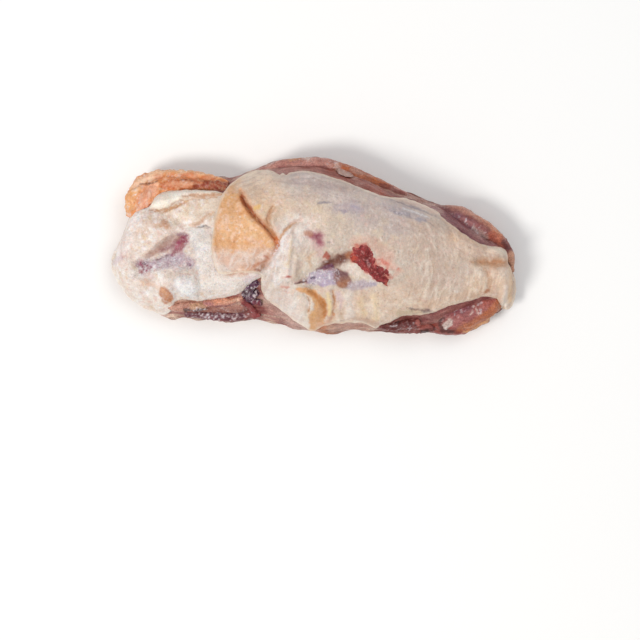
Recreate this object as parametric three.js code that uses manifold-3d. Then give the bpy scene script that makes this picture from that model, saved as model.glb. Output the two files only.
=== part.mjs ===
// A raw chicken back, lying skin side up, with the rib end and neck at -X and the pelvis and tail at +X.
// Millimetres, +Z up. The piece is one solid, because skin, fat, meat and bone all hang together.
import * as THREE from "three";
import { mergeVertices } from "three/addons/utils/BufferGeometryUtils.js";
import Module from "manifold-3d";

const wasm = await Module();
wasm.setup();

// The back is lofted through these sections. From low to high Y, each gives the edge of the meat, the edge of
// the skin, the backbone's place and height, the other edge of the skin and the other edge of the meat.
const sections = [
  { x: -104, meatLow: -10, skinLow: -10, spineY: -10, spineZ: 5, skinHigh: -10, meatHigh: -10 },
  { x: -98, meatLow: -23, skinLow: -22, spineY: -8, spineZ: 17, skinHigh: 3, meatHigh: 7 },
  { x: -90, meatLow: -30, skinLow: -29, spineY: -3, spineZ: 23, skinHigh: 21, meatHigh: 26 },
  { x: -80, meatLow: -36, skinLow: -34, spineY: 1, spineZ: 27, skinHigh: 28, meatHigh: 33.5 },
  { x: -65, meatLow: -38, skinLow: -28, spineY: 4, spineZ: 28.5, skinHigh: 28, meatHigh: 34.5 },
  { x: -50, meatLow: -39, skinLow: -27, spineY: 9, spineZ: 30, skinHigh: 29, meatHigh: 34 },
  { x: -35, meatLow: -39, skinLow: -24, spineY: 17, spineZ: 35.5, skinHigh: 36, meatHigh: 37.5 },
  { x: -20, meatLow: -40, skinLow: -31, spineY: 20, spineZ: 40, skinHigh: 38, meatHigh: 42 },
  { x: 0, meatLow: -45.5, skinLow: -44, spineY: 19, spineZ: 41.5, skinHigh: 37, meatHigh: 45 },
  { x: 20, meatLow: -44.5, skinLow: -40.5, spineY: 17, spineZ: 40.5, skinHigh: 31, meatHigh: 39.5 },
  { x: 40, meatLow: -45.5, skinLow: -39, spineY: 13, spineZ: 37.5, skinHigh: 25.5, meatHigh: 30.5 },
  { x: 60, meatLow: -45, skinLow: -35, spineY: 6, spineZ: 33.5, skinHigh: 18.5, meatHigh: 22.5 },
  { x: 75, meatLow: -42, skinLow: -30.5, spineY: -1, spineZ: 29.5, skinHigh: 7, meatHigh: 17 },
  { x: 88, meatLow: -36, skinLow: -28, spineY: -8, spineZ: 25, skinHigh: 0, meatHigh: 9 },
  { x: 98, meatLow: -32, skinLow: -30.5, spineY: -13, spineZ: 18, skinHigh: -2.5, meatHigh: 3 },
  { x: 104, meatLow: -18, skinLow: -18, spineY: -18, spineZ: 5, skinHigh: -18, meatHigh: -18 },
];
const rimZ = 6; // height of the widest line round the side
const rimWave = 1.8; // how far that line wanders up and down
const footRound = 8; // how far in from that line the underside meets the table
const edgeWave = { meat: 1.1, skin: 0.6 }; // unevenness of the two cut edges
const skinLip = 0.35; // run of the step at the skin's edge
const skinThickness = 2.2;
const flankPower = 2.1; // how full the flanks are
const flankRound = 1.5;
const fadeIn = { ends: 8, bare: 4, skin: 6 }; // how far in from an edge the relief reaches its full height

// The body cavity on the underside, under the ribs and the pelvis.
const cavity = [
  { x: -93, y: -6, halfWidth: 9, depth: 0 },
  { x: -80, y: -3, halfWidth: 19, depth: 14 },
  { x: -55, y: -2, halfWidth: 24, depth: 20 },
  { x: -20, y: 2, halfWidth: 28, depth: 24 },
  { x: 20, y: -2, halfWidth: 28, depth: 21 },
  { x: 50, y: -9, halfWidth: 20, depth: 14 },
  { x: 72, y: -14, halfWidth: 9, depth: 0 },
];
const vaultPower = 0.7; // how square the hollow is
const spineRidge = { height: 4, width: 4.5 };
const ribs = { from: -84, to: -18, spacing: 13, height: 2.4, sweep: 8 };
const ridgeDepth = 8; // hollow at which the ridge and the ribs reach their full height
const endLift = { from: 78, to: 104, height: 4 }; // the tail clears the table a little

// Relief on the top: long folds and hollows, and round lumps. Height is above the skin, or below it.
const folds = [
  { name: "brow over the flap", path: [[-36, 31], [-30, 18], [-22, 10], [-18, 8]], width: 6, height: 2.6 },
  { name: "hip lobe", path: [[-12, -2], [-16, -10], [-17, -22], [-6, -34]], width: 7, height: 3.6 },
  { name: "cleft of the hip tendon", path: [[1, -24], [5, -32], [2, -43]], width: 3.5, height: -3.5 },
  { name: "hip socket", path: [[-2, -16], [14, -10], [22, -12]], width: 6, height: -3 },
  { name: "clot", path: [[23, -4], [28, -10], [36, -18]], width: 3, height: 1.8 },
  { name: "shoulder hollow", path: [[-88, -10], [-76, -4], [-66, 1]], width: 6.5, height: -6 },
  { name: "fat roll", path: [[-71, -20], [-58, -20], [-42, -19], [-31, -15]], width: 7, height: 7 },
  { name: "upper fat slab", path: [[-78, 22], [-64, 25], [-50, 26]], width: 4.5, height: 3.5 },
  { name: "loin valley", path: [[-73, 13], [-62, 9], [-50, 7]], width: 3, height: -2 },
];
const lumps = [
  { name: "frost lump", at: [-57, -4], radius: 9, height: 4 },
  { name: "fat knob", at: [-65, -19], radius: 6.5, height: 2.5 },
  { name: "neck lump", at: [-93, -12], radius: 9, height: 3 },
  { name: "collar lump", at: [-86, 8], radius: 8, height: 3 },
  { name: "lower collar", at: [-84, -24], radius: 9, height: 3.5 },
];

// Smooth value of a named column between the rows of a table.
function between(rows, column, x) {
  const last = rows.length - 1;
  if (x <= rows[0].x) return rows[0][column];
  if (x >= rows[last].x) return rows[last][column];
  const i = rows.findIndex((row) => row.x > x) - 1;
  const slope = (k) => {
    const a = rows[Math.max(k - 1, 0)];
    const b = rows[Math.min(k + 1, last)];
    return (b[column] - a[column]) / (b.x - a.x);
  };
  const run = rows[i + 1].x - rows[i].x;
  const t = (x - rows[i].x) / run;
  const start = rows[i][column] * (2 * t ** 3 - 3 * t ** 2 + 1) + slope(i) * run * (t ** 3 - 2 * t ** 2 + t);
  return start + rows[i + 1][column] * (3 * t ** 2 - 2 * t ** 3) + slope(i + 1) * run * (t ** 3 - t ** 2);
}

function distanceToPath(path, x, y) {
  let nearest = Infinity;
  for (let i = 0; i + 1 < path.length; i++) {
    const [ax, ay] = path[i];
    const [bx, by] = path[i + 1];
    const [alongX, alongY] = [bx - ax, by - ay];
    const t = ((x - ax) * alongX + (y - ay) * alongY) / (alongX ** 2 + alongY ** 2);
    const held = Math.min(Math.max(t, 0), 1);
    nearest = Math.min(nearest, Math.hypot(x - ax - held * alongX, y - ay - held * alongY));
  }
  return nearest;
}

const bell = (distance, width) => Math.exp(-((distance / width) ** 2));

// Unevenness of meat: slow waves that never line up.
const uneven = (x, y) => {
  const broad = Math.sin(0.17 * x + 1.3 * Math.sin(0.13 * y)) * Math.sin(0.23 * y + 0.9);
  return broad + 0.3 * Math.sin(0.29 * x - 0.24 * y);
};

// Unevenness of a cut edge along the back.
const wave = (x, phase) => Math.sin(0.23 * x + phase) * 0.6 + Math.sin(0.61 * x + 2 * phase) * 0.4;

function relief(x, y) {
  let total = 0.5 * uneven(x, y);
  for (const { path, width, height } of folds) total += height * bell(distanceToPath(path, x, y), width);
  for (const lump of lumps) {
    total += lump.height * bell(Math.hypot(x - lump.at[0], y - lump.at[1]), lump.radius);
  }
  return total;
}

// Height of the meat under the skin.
function meatTop(x, y) {
  const spineY = between(sections, "spineY", x);
  const edge = between(sections, y < spineY ? "meatLow" : "meatHigh", x);
  const out = Math.min(Math.abs((y - spineY) / (edge - spineY || 1)), 1);
  const full = (1 - out ** flankPower) ** (1 / flankRound);
  return rimZ + (between(sections, "spineZ", x) - rimZ) * full;
}

// Height of the underside: flat on the table near the sides, and hollow under the backbone.
function underside(x, y) {
  const halfWidth = between(cavity, "halfWidth", x);
  const across = (y - between(cavity, "y", x)) / halfWidth;
  const lift = endLift.height * THREE.MathUtils.smoothstep(x, endLift.from, endLift.to);
  if (Math.abs(across) >= 1 || x <= cavity[0].x || x >= cavity[cavity.length - 1].x) return lift;
  const vault = between(cavity, "depth", x) * (1 - across ** 2) ** vaultPower;
  const ridge = spineRidge.height * bell(across * halfWidth, spineRidge.width);
  const ribTurn = ((x + Math.abs(across) * ribs.sweep) * 2 * Math.PI) / ribs.spacing;
  const rib = x > ribs.from && x < ribs.to ? ribs.height * Math.max(0, Math.cos(ribTurn)) : 0;
  return Math.max(lift, vault - (ridge + rib) * Math.min(1, vault / ridgeDepth));
}

// Turns rings of points, with a pole at each end, into one closed solid.
function loft(rings, startPole, endPole) {
  const count = rings[0].length;
  const points = [startPole, ...rings.flat(), endPole];
  const triangles = [];
  const at = (ring, i) => 1 + ring * count + (i % count);
  for (let i = 0; i < count; i++) {
    triangles.push(0, at(0, i + 1), at(0, i));
    for (let ring = 0; ring + 1 < rings.length; ring++) {
      triangles.push(at(ring, i), at(ring, i + 1), at(ring + 1, i + 1));
      triangles.push(at(ring, i), at(ring + 1, i + 1), at(ring + 1, i));
    }
    triangles.push(at(rings.length - 1, i), at(rings.length - 1, i + 1), points.length - 1);
  }
  const solid = toSolid(points, triangles);
  if (solid.volume() > 0) return solid;
  return toSolid(points, triangles.reverse()); // the other way round faces outwards
}

function toSolid(points, triangles) {
  const geometry = new THREE.BufferGeometry();
  geometry.setAttribute("position", new THREE.Float32BufferAttribute(points.flat(), 3));
  geometry.setIndex(triangles);
  const merged = mergeVertices(geometry, 1e-4);
  const vertProperties = new Float32Array(merged.attributes.position.array);
  const triVerts = new Uint32Array(merged.index.array);
  return new wasm.Manifold(new wasm.Mesh({ numProp: 3, vertProperties, triVerts }));
}

// Meat, bone and skin of the whole back, section by section, with a step at each edge of the skin.
const sectionCount = 64;
const bandSteps = 3; // across the bare meat beside the skin
const skinSteps = 20;
const footSteps = 5; // on the underside, from each side in to the cavity
const vaultSteps = 16;

const row = (from, to, steps) =>
  Array.from({ length: steps + 1 }, (_, i) => THREE.MathUtils.lerp(from, to, i / steps));

function sectionRing(x) {
  const columns = Object.keys(sections[0]);
  const edge = Object.fromEntries(columns.map((column) => [column, between(sections, column, x)]));
  const [start, end] = [sections[0].x, sections[sections.length - 1].x];
  const nearEnd = Math.min(1, (x - start) / fadeIn.ends, (end - x) / fadeIn.ends);
  for (const [side, sign] of [["Low", -1], ["High", 1]]) {
    edge["meat" + side] += sign * nearEnd * edgeWave.meat * wave(x, sign);
    edge["skin" + side] += sign * nearEnd * edgeWave.skin * wave(x, sign + 4);
  }
  const inFrom = (y) => Math.min(y - edge.meatLow, edge.meatHigh - y, (x - start) * 1.5, (end - x) * 1.5);
  const rim = (sign) => rimZ + rimWave * nearEnd * wave(x, sign + 8);
  const bare = (y) => [x, y, meatTop(x, y) + relief(x, y) * Math.min(1, inFrom(y) / fadeIn.bare)];
  const lowBand = row(edge.meatLow, edge.skinLow, bandSteps).map(bare);
  lowBand[0][2] = rim(-1);
  const highBand = row(edge.skinHigh, edge.meatHigh, bandSteps).map(bare);
  highBand[bandSteps][2] = rim(1);
  const skin = row(edge.skinLow + skinLip, edge.skinHigh - skinLip, skinSteps).map((y) => {
    const settle = Math.min(1, inFrom(y) / fadeIn.skin);
    return [x, y, meatTop(x, y) + (skinThickness + relief(x, y)) * settle];
  });
  const [middle, half] = [between(cavity, "y", x), between(cavity, "halfWidth", x)];
  const vaultHigh = Math.min(middle + half, THREE.MathUtils.lerp(edge.meatHigh, middle, 0.3));
  const vaultLow = Math.max(middle - half, THREE.MathUtils.lerp(edge.meatLow, middle, 0.3));
  const acrossUnder = [
    ...row(edge.meatHigh, vaultHigh, footSteps).slice(1),
    ...row(vaultHigh, vaultLow, vaultSteps).slice(1),
    ...row(vaultLow, edge.meatLow, footSteps).slice(1, -1),
  ];
  const under = acrossUnder.map((y) => {
    const inward = Math.min(1, inFrom(y) / footRound);
    return [x, y, rim(y > middle ? 1 : -1) * (1 - Math.sqrt(1 - (1 - inward) ** 2)) + underside(x, y)];
  });
  return [...lowBand, ...skin, ...highBand, ...under];
}

function backBody() {
  const [first, last] = [sections[0], sections[sections.length - 1]];
  const rings = [];
  for (let i = 1; i < sectionCount; i++) {
    const even = (2 * i) / sectionCount - 1;
    const spread = 0.75 * even + 0.25 * Math.sin((even * Math.PI) / 2); // closer together at the two ends
    rings.push(sectionRing(((spread + 1) / 2) * (last.x - first.x) + first.x));
  }
  return loft(rings, [first.x, first.spineY, rimZ], [last.x, last.spineY, rimZ]);
}

// A soft roll of fat or muscle that follows a path; its girth swells and ends round.
function softRoll({ path, radius, flat = 1, wobble = 0.06, sides = 12, steps = 14 }) {
  const curve = new THREE.CatmullRomCurve3(path.map((point) => new THREE.Vector3(...point)));
  const rings = [];
  for (let i = 1; i < steps; i++) {
    const t = i / steps;
    const centre = curve.getPointAt(t);
    const ahead = curve.getTangentAt(t);
    const side = new THREE.Vector3(-ahead.y, ahead.x, 0).normalize();
    const up = new THREE.Vector3().crossVectors(ahead, side);
    const girth = radius * Math.sqrt(1 - (2 * t - 1) ** 4) * (1 + wobble * Math.sin(9 * t + radius));
    const ring = [];
    for (let k = 0; k < sides; k++) {
      const angle = (2 * Math.PI * k) / sides;
      const spread = girth * (1 + wobble * uneven(5 * i, 9 * k));
      const point = centre.clone();
      point.addScaledVector(side, spread * Math.cos(angle));
      point.addScaledVector(up, spread * flat * Math.sin(angle));
      ring.push(point.toArray());
    }
    rings.push(ring);
  }
  return loft(rings, curve.getPointAt(0).toArray(), curve.getPointAt(1).toArray());
}

// The loose skin of the loin, folded over towards the ribs: a slab between its fold line and the crease.
const flap = {
  foldLine: [[-31, 37.5], [-40, 34.5], [-46, 26], [-49.5, 14], [-51.5, 2], [-52, -7], [-49, -13.5]],
  crease: [[-30, 34], [-35, 24], [-32, 17], [-26, 9], [-19, 1], [-20, -6], [-27, -11]],
  proud: 4.5, // above the skin beside it, at the fold line
  sunk: -3, // the same at the crease, where it goes under the brow
  edgeRound: { down: 1.6, in: 0.8 }, // at the fold line
  rooted: 1, // depth of its underside in the meat
  steps: 16,
  across: 8,
};

function skinFlap() {
  const line = (points) => new THREE.CatmullRomCurve3(points.map(([x, y]) => new THREE.Vector3(x, y, 0)));
  const [outer, inner] = [line(flap.foldLine), line(flap.crease)];
  const rings = [];
  for (let i = 1; i < flap.steps; i++) {
    const [from, to] = [outer.getPoint(i / flap.steps), inner.getPoint(i / flap.steps)];
    const height = (x, y, t) =>
      meatTop(x, y) + skinThickness + relief(x, y) * t + THREE.MathUtils.lerp(flap.proud, flap.sunk, t ** 3);
    const [over, under] = [[], []];
    for (let k = 0; k <= flap.across; k++) {
      const t = k / flap.across;
      const [x, y] = [THREE.MathUtils.lerp(from.x, to.x, t), THREE.MathUtils.lerp(from.y, to.y, t)];
      over.push([x, y, height(x, y, t) - (k ? 0 : flap.edgeRound.down)]);
      under.unshift([x + (k ? 0 : flap.edgeRound.in), y, meatTop(x, y) - flap.rooted]);
    }
    rings.push([...over, ...under]);
  }
  const pole = (t) => {
    const middle = outer.getPoint(t).lerp(inner.getPoint(t), 0.5);
    return [middle.x, middle.y, meatTop(middle.x, middle.y) + skinThickness / 2];
  };
  return loft(rings, pole(0), pole(1));
}

// Rolls that stand out past the lofted back.
const rolls = [
  {
    name: "neck skin",
    path: [[-87, 14, 12], [-90, 21, 11], [-85, 28.5, 12], [-68, 30.5, 13.5], [-45, 30, 16]],
    radius: 6.8,
  },
  {
    name: "tail nub",
    path: [[92, 1, 14], [98, -8, 15.5], [98.5, -22, 14], [97, -32.5, 10]],
    radius: 5,
    steps: 12,
  },
  {
    name: "meat beside the vent",
    path: [[56, -36, 8], [72, -37, 10.5], [86, -32.5, 12], [97, -25, 11]],
    radius: 9.4,
    flat: 0.8,
  },
  { name: "vent", path: [[58, -40, 8], [68, -41, 9], [79, -38, 9]], radius: 7, flat: 0.9, steps: 9 },
  {
    name: "meat above the tail",
    path: [[58, 15, 13], [72, 13, 14.5], [86, 5.5, 13.5], [100, -3, 10]],
    radius: 8,
    flat: 0.8,
  },
];

function joined() {
  let whole = backBody().add(skinFlap());
  for (const roll of rolls) whole = whole.add(softRoll(roll));
  return whole;
}

function toGeometry(solid) {
  const { vertProperties, triVerts, numProp } = solid.getMesh();
  const geometry = new THREE.BufferGeometry();
  const positions = new Float32Array((vertProperties.length / numProp) * 3);
  for (let i = 0; i < positions.length / 3; i++) {
    for (let axis = 0; axis < 3; axis++) positions[3 * i + axis] = vertProperties[numProp * i + axis];
  }
  geometry.setAttribute("position", new THREE.BufferAttribute(positions, 3));
  geometry.setIndex(new THREE.BufferAttribute(triVerts, 1));
  geometry.computeVertexNormals();
  return geometry;
}

const rawSkin = new THREE.MeshStandardMaterial({ color: 0xe4cdb9, roughness: 0.5, metalness: 0 });
const back = new THREE.Mesh(toGeometry(joined()), rawSkin);
back.name = "chicken_back";
const { min, max } = new THREE.Box3().setFromObject(back);
back.position.set(-(min.x + max.x) / 2, -(min.y + max.y) / 2, -min.z); // centred and standing on the table

const chickenBack = new THREE.Group();
chickenBack.add(back);
export default chickenBack;
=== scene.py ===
import bpy
import numpy as np
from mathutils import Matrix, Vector
from mathutils.geometry import delaunay_2d_cdt


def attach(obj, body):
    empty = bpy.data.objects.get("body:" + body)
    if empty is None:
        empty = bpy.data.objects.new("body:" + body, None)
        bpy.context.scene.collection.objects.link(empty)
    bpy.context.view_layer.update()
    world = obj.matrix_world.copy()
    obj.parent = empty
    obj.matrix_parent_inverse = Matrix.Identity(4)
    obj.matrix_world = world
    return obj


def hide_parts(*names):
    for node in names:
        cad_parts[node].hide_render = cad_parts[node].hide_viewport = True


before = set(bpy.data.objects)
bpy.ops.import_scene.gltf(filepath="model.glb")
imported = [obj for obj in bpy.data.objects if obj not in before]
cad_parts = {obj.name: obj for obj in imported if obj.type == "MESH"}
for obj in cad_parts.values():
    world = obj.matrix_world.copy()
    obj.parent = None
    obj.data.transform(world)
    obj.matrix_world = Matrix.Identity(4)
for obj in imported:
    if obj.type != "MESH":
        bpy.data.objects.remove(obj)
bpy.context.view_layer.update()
print("frame loaded")

# Everything is drawn in millimetres on the back's own plan, neck at -X and tail at +X. shiftY puts it in the
# middle of the frame.
plan = {"shiftY": 0.851, "start": -104.0, "end": 104.0}


def placed(points):
    return (np.asarray(points, float) + (0, plan["shiftY"], 0)) / 1000


# ---- forms shared by all pieces: the same sections, folds and lumps as the solid
sections = {
    "x": (-104, -98, -90, -80, -65, -50, -35, -20, 0, 20, 40, 60, 75, 88, 98, 104),
    "meatLow": (-10, -23, -30, -36, -38, -39, -39, -40, -45.5, -44.5, -45.5, -45, -42, -36, -32, -18),
    "spineY": (-10, -8, -3, 1, 4, 9, 17, 20, 19, 17, 13, 6, -1, -8, -13, -18),
    "spineZ": (5, 17, 23, 27, 28.5, 30, 35.5, 40, 41.5, 40.5, 37.5, 33.5, 29.5, 25, 18, 5),
    "meatHigh": (-10, 7, 26, 33.5, 34.5, 34, 37.5, 42, 45, 39.5, 30.5, 22.5, 17, 9, 3, -18),
}
flanks = {"rimZ": 6, "rimWave": 1.8, "footRound": 8, "power": 2.1, "round": 1.5, "meatWave": 1.1}
skinForm = {"thickness": 2.2, "settle": 6, "bareSettle": 4}
cavityForm = {
    "x": (-93, -80, -55, -20, 20, 50, 72),
    "y": (-6, -3, -2, 2, -2, -9, -14),
    "halfWidth": (9, 19, 24, 28, 28, 20, 9),
    "depth": (0, 14, 20, 24, 21, 14, 0),
}
folds = (
    (((-36, 31), (-30, 18), (-22, 10), (-18, 8)), 6, 2.6),  # brow over the flap
    (((-12, -2), (-16, -10), (-17, -22), (-6, -34)), 7, 3.6),  # hip lobe
    (((1, -24), (5, -32), (2, -43)), 3.5, -3.5),  # cleft of the hip tendon
    (((-2, -16), (14, -10), (22, -12)), 6, -3),  # hip socket
    (((23, -4), (28, -10), (36, -18)), 3, 1.8),  # clot
    (((-88, -10), (-76, -4), (-66, 1)), 6.5, -6),  # shoulder hollow
    (((-71, -20), (-58, -20), (-42, -19), (-31, -15)), 7, 7),  # fat roll
    (((-78, 22), (-64, 25), (-50, 26)), 4.5, 3.5),  # upper fat slab
    (((-73, 13), (-62, 9), (-50, 7)), 3, -2),  # loin valley
)
lumps = (
    ((-57, -4), 9, 4),
    ((-65, -19), 6.5, 2.5),
    ((-93, -12), 9, 3),
    ((-86, 8), 8, 3),
    ((-84, -24), 9, 3.5),
)


def along(form, column, x):
    # a smooth curve through one column of a form's sections
    xs, ys = np.array(form["x"], float), np.array(form[column], float)
    ahead = np.minimum(np.arange(len(xs)) + 1, len(xs) - 1)
    behind = np.maximum(np.arange(len(xs)) - 1, 0)
    slopes = (ys[ahead] - ys[behind]) / (xs[ahead] - xs[behind])
    i = np.clip(np.searchsorted(xs, x, side="right") - 1, 0, len(xs) - 2)
    run = xs[i + 1] - xs[i]
    t = np.clip((x - xs[i]) / run, 0, 1)
    first = ys[i] * (2 * t**3 - 3 * t**2 + 1) + slopes[i] * run * (t**3 - 2 * t**2 + t)
    return first + ys[i + 1] * (3 * t**2 - 2 * t**3) + slopes[i + 1] * run * (t**3 - t**2)


def distanceTo(path, x, y, closed=False):
    # distance to a line, whose points may each have a half width of their own, or to a single spot
    path = tuple(path) if isinstance(path[0], tuple) else (path, (path[0] + 0.01, *path[1:]))
    nearest = np.full(np.shape(x), 1e9)
    for a, b in zip(path, path[1:] + path[:closed]):
        lx, ly = b[0] - a[0], b[1] - a[1]
        t = np.clip(((x - a[0]) * lx + (y - a[1]) * ly) / (lx * lx + ly * ly + 1e-12), 0, 1)
        wide = a[2] + (b[2] - a[2]) * t if len(a) > 2 else 0
        nearest = np.minimum(nearest, np.hypot(x - a[0] - t * lx, y - a[1] - t * ly) - wide)
    return nearest


def insideOf(path, x, y):
    inside = np.zeros(np.shape(x), bool)
    for (ax, ay), (bx, by) in zip(path, path[1:] + path[:1]):
        inside ^= ((ay > y) != (by > y)) & (x < (bx - ax) * (y - ay) / ((by - ay) or 1e-9) + ax)
    return inside


def bell(distance, width):
    return np.exp(-((distance / width) ** 2))


def smooth(value, low, high):
    t = np.clip((value - low) / (high - low), 0, 1)
    return t * t * (3 - 2 * t)


def between(x, start, stop):
    # 1 between both ranges, fading over each of them
    return smooth(x, *start) * (1 - smooth(x, *stop))


def wave(x, phase):
    return np.sin(0.23 * x + phase) * 0.6 + np.sin(0.37 * x + 2 * phase) * 0.4


latticeSize = 32  # the random field repeats after this many bumps
turnShift = 5.37  # how far along the field each turn starts
lattice = np.random.default_rng(11).random((latticeSize, latticeSize, latticeSize))


def lumpy(points, size, turn=0):
    # soft random unevenness from -1 to 1, with bumps of the given size; each turn gives another pattern
    p = np.asarray(points, float) / size + turn * turnShift
    cell = np.floor(p).astype(int)
    f = p - cell
    f = f * f * (3 - 2 * f)
    total = 0
    for corner in np.ndindex(2, 2, 2):
        weight = np.prod(np.where(corner, f, 1 - f), axis=1)
        i, j, k = ((cell + corner) % latticeSize).T
        total = total + weight * lattice[i, j, k]
    return 2 * total - 1


def rough(points, size, turn=0):
    # the same with finer bumps on top
    return (lumpy(points, size, turn) + 0.5 * lumpy(points, size / 2.1, turn + 1)
            + 0.25 * lumpy(points, size / 4.3, turn + 2)) / 1.3


def flat(x, y):
    return np.stack([x, y, np.zeros_like(x)], axis=1)


def threads(length, across, long, wide, turn, sharp=3):
    # fine lines that run along the first coordinate, 1 on a line
    return (1 - np.abs(lumpy(flat(length / long, across / wide), 1, turn))) ** sharp


def follicles(points, spacing, size, turn=0):
    # small dots scattered at about the given spacing, 1 in their middle
    place = points[:, :2] / spacing + turn
    cell = np.floor(place).astype(int)
    nearest = np.full(len(points), 1e9)
    for step in np.ndindex(3, 3):
        spot = cell + np.array(step) - 1
        i, j = (spot % latticeSize).T
        shift = np.stack([lattice[i, j, turn % latticeSize],
                          lattice[j, i, (turn + 7) % latticeSize]], axis=1) - 0.5
        nearest = np.minimum(nearest, np.hypot(*(place - spot - 0.5 - 0.8 * shift).T))
    return bell(nearest * spacing, size)


def uneven(x, y):
    broad = np.sin(0.17 * x + 1.3 * np.sin(0.13 * y)) * np.sin(0.23 * y + 0.9)
    return broad + 0.3 * np.sin(0.29 * x - 0.24 * y)


def raised(base, forms, x, y, share=1):
    # each form is a line, its width and its height
    for path, width, height in forms:
        base = base + height * bell(distanceTo(path, x, y), width) * share
    return base


def relief(x, y):
    total = raised(0.5 * uneven(x, y), folds, x, y)
    for (cx, cy), radius, height in lumps:
        total = total + height * bell(np.hypot(x - cx, y - cy), radius)
    return total


def meatEdges(x):
    nearEnd = np.clip(np.minimum(x - plan["start"], plan["end"] - x) / 8, 0, 1)
    low = along(sections, "meatLow", x) - nearEnd * flanks["meatWave"] * wave(x, -1)
    high = along(sections, "meatHigh", x) + nearEnd * flanks["meatWave"] * wave(x, 1)
    return low, high, nearEnd


def meatTop(x, y):
    spineY = along(sections, "spineY", x)
    edge = np.where(y < spineY, along(sections, "meatLow", x), along(sections, "meatHigh", x))
    gap = np.where(np.abs(edge - spineY) < 1e-6, 1, edge - spineY)
    out = np.clip(np.abs((y - spineY) / gap), 0, 1)
    full = (1 - out ** flanks["power"]) ** (1 / flanks["round"])
    return flanks["rimZ"] + (along(sections, "spineZ", x) - flanks["rimZ"]) * full


def inwards(x, y):
    # how far a place is from the edge of the meat, in plan
    low, high, _ = meatEdges(x)
    ends = np.minimum(x - plan["start"], plan["end"] - x) * 1.5
    return np.minimum(np.minimum(y - low, high - y), ends)


def settled(x, y, over):
    return np.clip(inwards(x, y) / over, 0, 1)


def overMeat(x, y):
    # the skin before its own folds, and how far it is from thinning out at the edge
    settle = settled(x, y, skinForm["settle"])
    return meatTop(x, y) + (skinForm["thickness"] + relief(x, y)) * settle, settle


# ---- the loose skin over the loin, and the creases that only the skin shows
flap = {
    "foldLine": ((-31, 38.4), (-37, 35), (-43, 29.8), (-47.3, 22), (-50.2, 10), (-51.5, -3), (-49, -13.5)),
    "crease": ((-36, 29), (-36.5, 25), (-35, 21), (-33, 18), (-30, 14), (-26, 10), (-23, 7), (-20, 3),
               (-17.6, 0.5), (-18, -3), (-21, -7.5), (-24.5, -12), (-26.6, -14.4)),
    "proud": 4.8, "bridgeFade": 9,
}
creases = (
    (((-35.5, 23), (-33, 18), (-30, 14), (-26, 10), (-22.5, 6.5), (-19, 2)), 1.2, 3.4),
    (((-36.6, 27), (-35.4, 22)), 1.1, 2.2),
    (((-18.6, 1.6), (-17.8, -1), (-18.4, -3.4)), 1.6, 2.8),
    (((-18.4, -3.4), (-21, -7.5), (-24.2, -11.6)), 1.5, 1.9),
    (((-19.7, 18), (-21.9, 14.6), (-22.6, 12), (-21.3, 7), (-18.6, 3)), 1, 1.7),
    (((-17, 2), (-14, 6), (-10.5, 9.6), (-6, 11)), 1, 1.7),
    (((84, -9), (92, -9.2), (101, -9.8)), 2.2, 2.2),
    (((88.4, -13), (90.2, -18), (90.6, -23)), 2.6, 0.9),
    (((43, -32.2), (50.7, -33), (59, -33.9), (62.4, -34.8)), 0.6, 0.9),
    (((34, 25), (46, 20.6), (57, 16.8), (63.5, 14.4)), 0.8, 0.8),
    (((-12, -20), (-8, -19.6), (-3.6, -18.4)), 0.9, 1.1),
    (((3, -12.8), (8, -10.4), (13, -8), (19, -6.4)), 1.8, 0.9),
    (((10.2, -24), (11.2, -28), (11, -33), (9.8, -38)), 0.9, 1.4),
    (((-4.4, -25.6), (-1.8, -28.6), (-2.4, -32), (-3.2, -36)), 0.9, 1.1),
)
ridges = (
    (((-10.6, 4), (-11.6, -3), (-12.2, -10), (-12.8, -16)), 1.3, 1.3),  # soft pleats of the lobe
    (((-8.4, -8), (-9, -13), (-9.2, -17)), 1.1, 1.1),
    (((-17.4, -6), (-19.6, -14), (-19, -22)), 1.8, 0.7),
    (((-18.2, 16.6), (-19.8, 13.4), (-20, 10.4), (-18.2, 6)), 1.2, 0.9),
    (((-15.4, 2.4), (-12.6, 6.8), (-9, 9.6)), 1.2, 0.8),
    (((-5, -23.4), (0, -25.4), (3.4, -29), (3.8, -34), (2.2, -39), (1.8, -43)), 2.6, 1.5),  # tendon
    (((7.2, -25), (8.6, -30), (8.6, -35)), 1.4, 1),
    (((17, -28), (18.4, -37)), 2.4, 0.8), (((24.4, -28), (25.4, -36)), 2.2, 0.7),
    (((31, -32), (32, -40)), 2, 0.8),
    (((92, -4), (98.4, -4.8)), 2.8, 1.5), (((94.6, -15), (98.6, -20), (98.4, -28)), 3.2, 1.8),  # tail halves
)


def creased(x, y):
    total = np.zeros_like(x)
    for path, width, depth in creases:
        total = np.maximum(total, depth * bell(distanceTo(path, x, y), width))
    return total - raised(0, ridges, x, y)


def inFlap(x, y, fade):
    # 1 where the skin is folded over, less towards the open upper end of the fold
    bridge = distanceTo((flap["foldLine"][0], flap["crease"][0]), x, y)
    return insideOf(flap["foldLine"] + flap["crease"][::-1], x, y) * smooth(bridge, 0, fade)


def flapRaise(x, y):
    outer = distanceTo(flap["foldLine"], x, y)
    inner = distanceTo(flap["crease"], x, y)
    t = outer / (outer + inner + 1e-6)
    return inFlap(x, y, flap["bridgeFade"]) * flap["proud"] * (1 - t**1.6)


tailLip = ((((94, -1), (98, -6), (100, -14), (100.6, -23), (98.6, -30)), 3.6, 3.6),)
topEdge = ((-50, 30), (-28, 39), (-12, 37), (0, 37.4), (10, 34.2), (24, 30.2), (42, 25.2), (58, 20), (65, 14.6),
           (75, 6.4), (90, -1), (99, -3))


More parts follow.
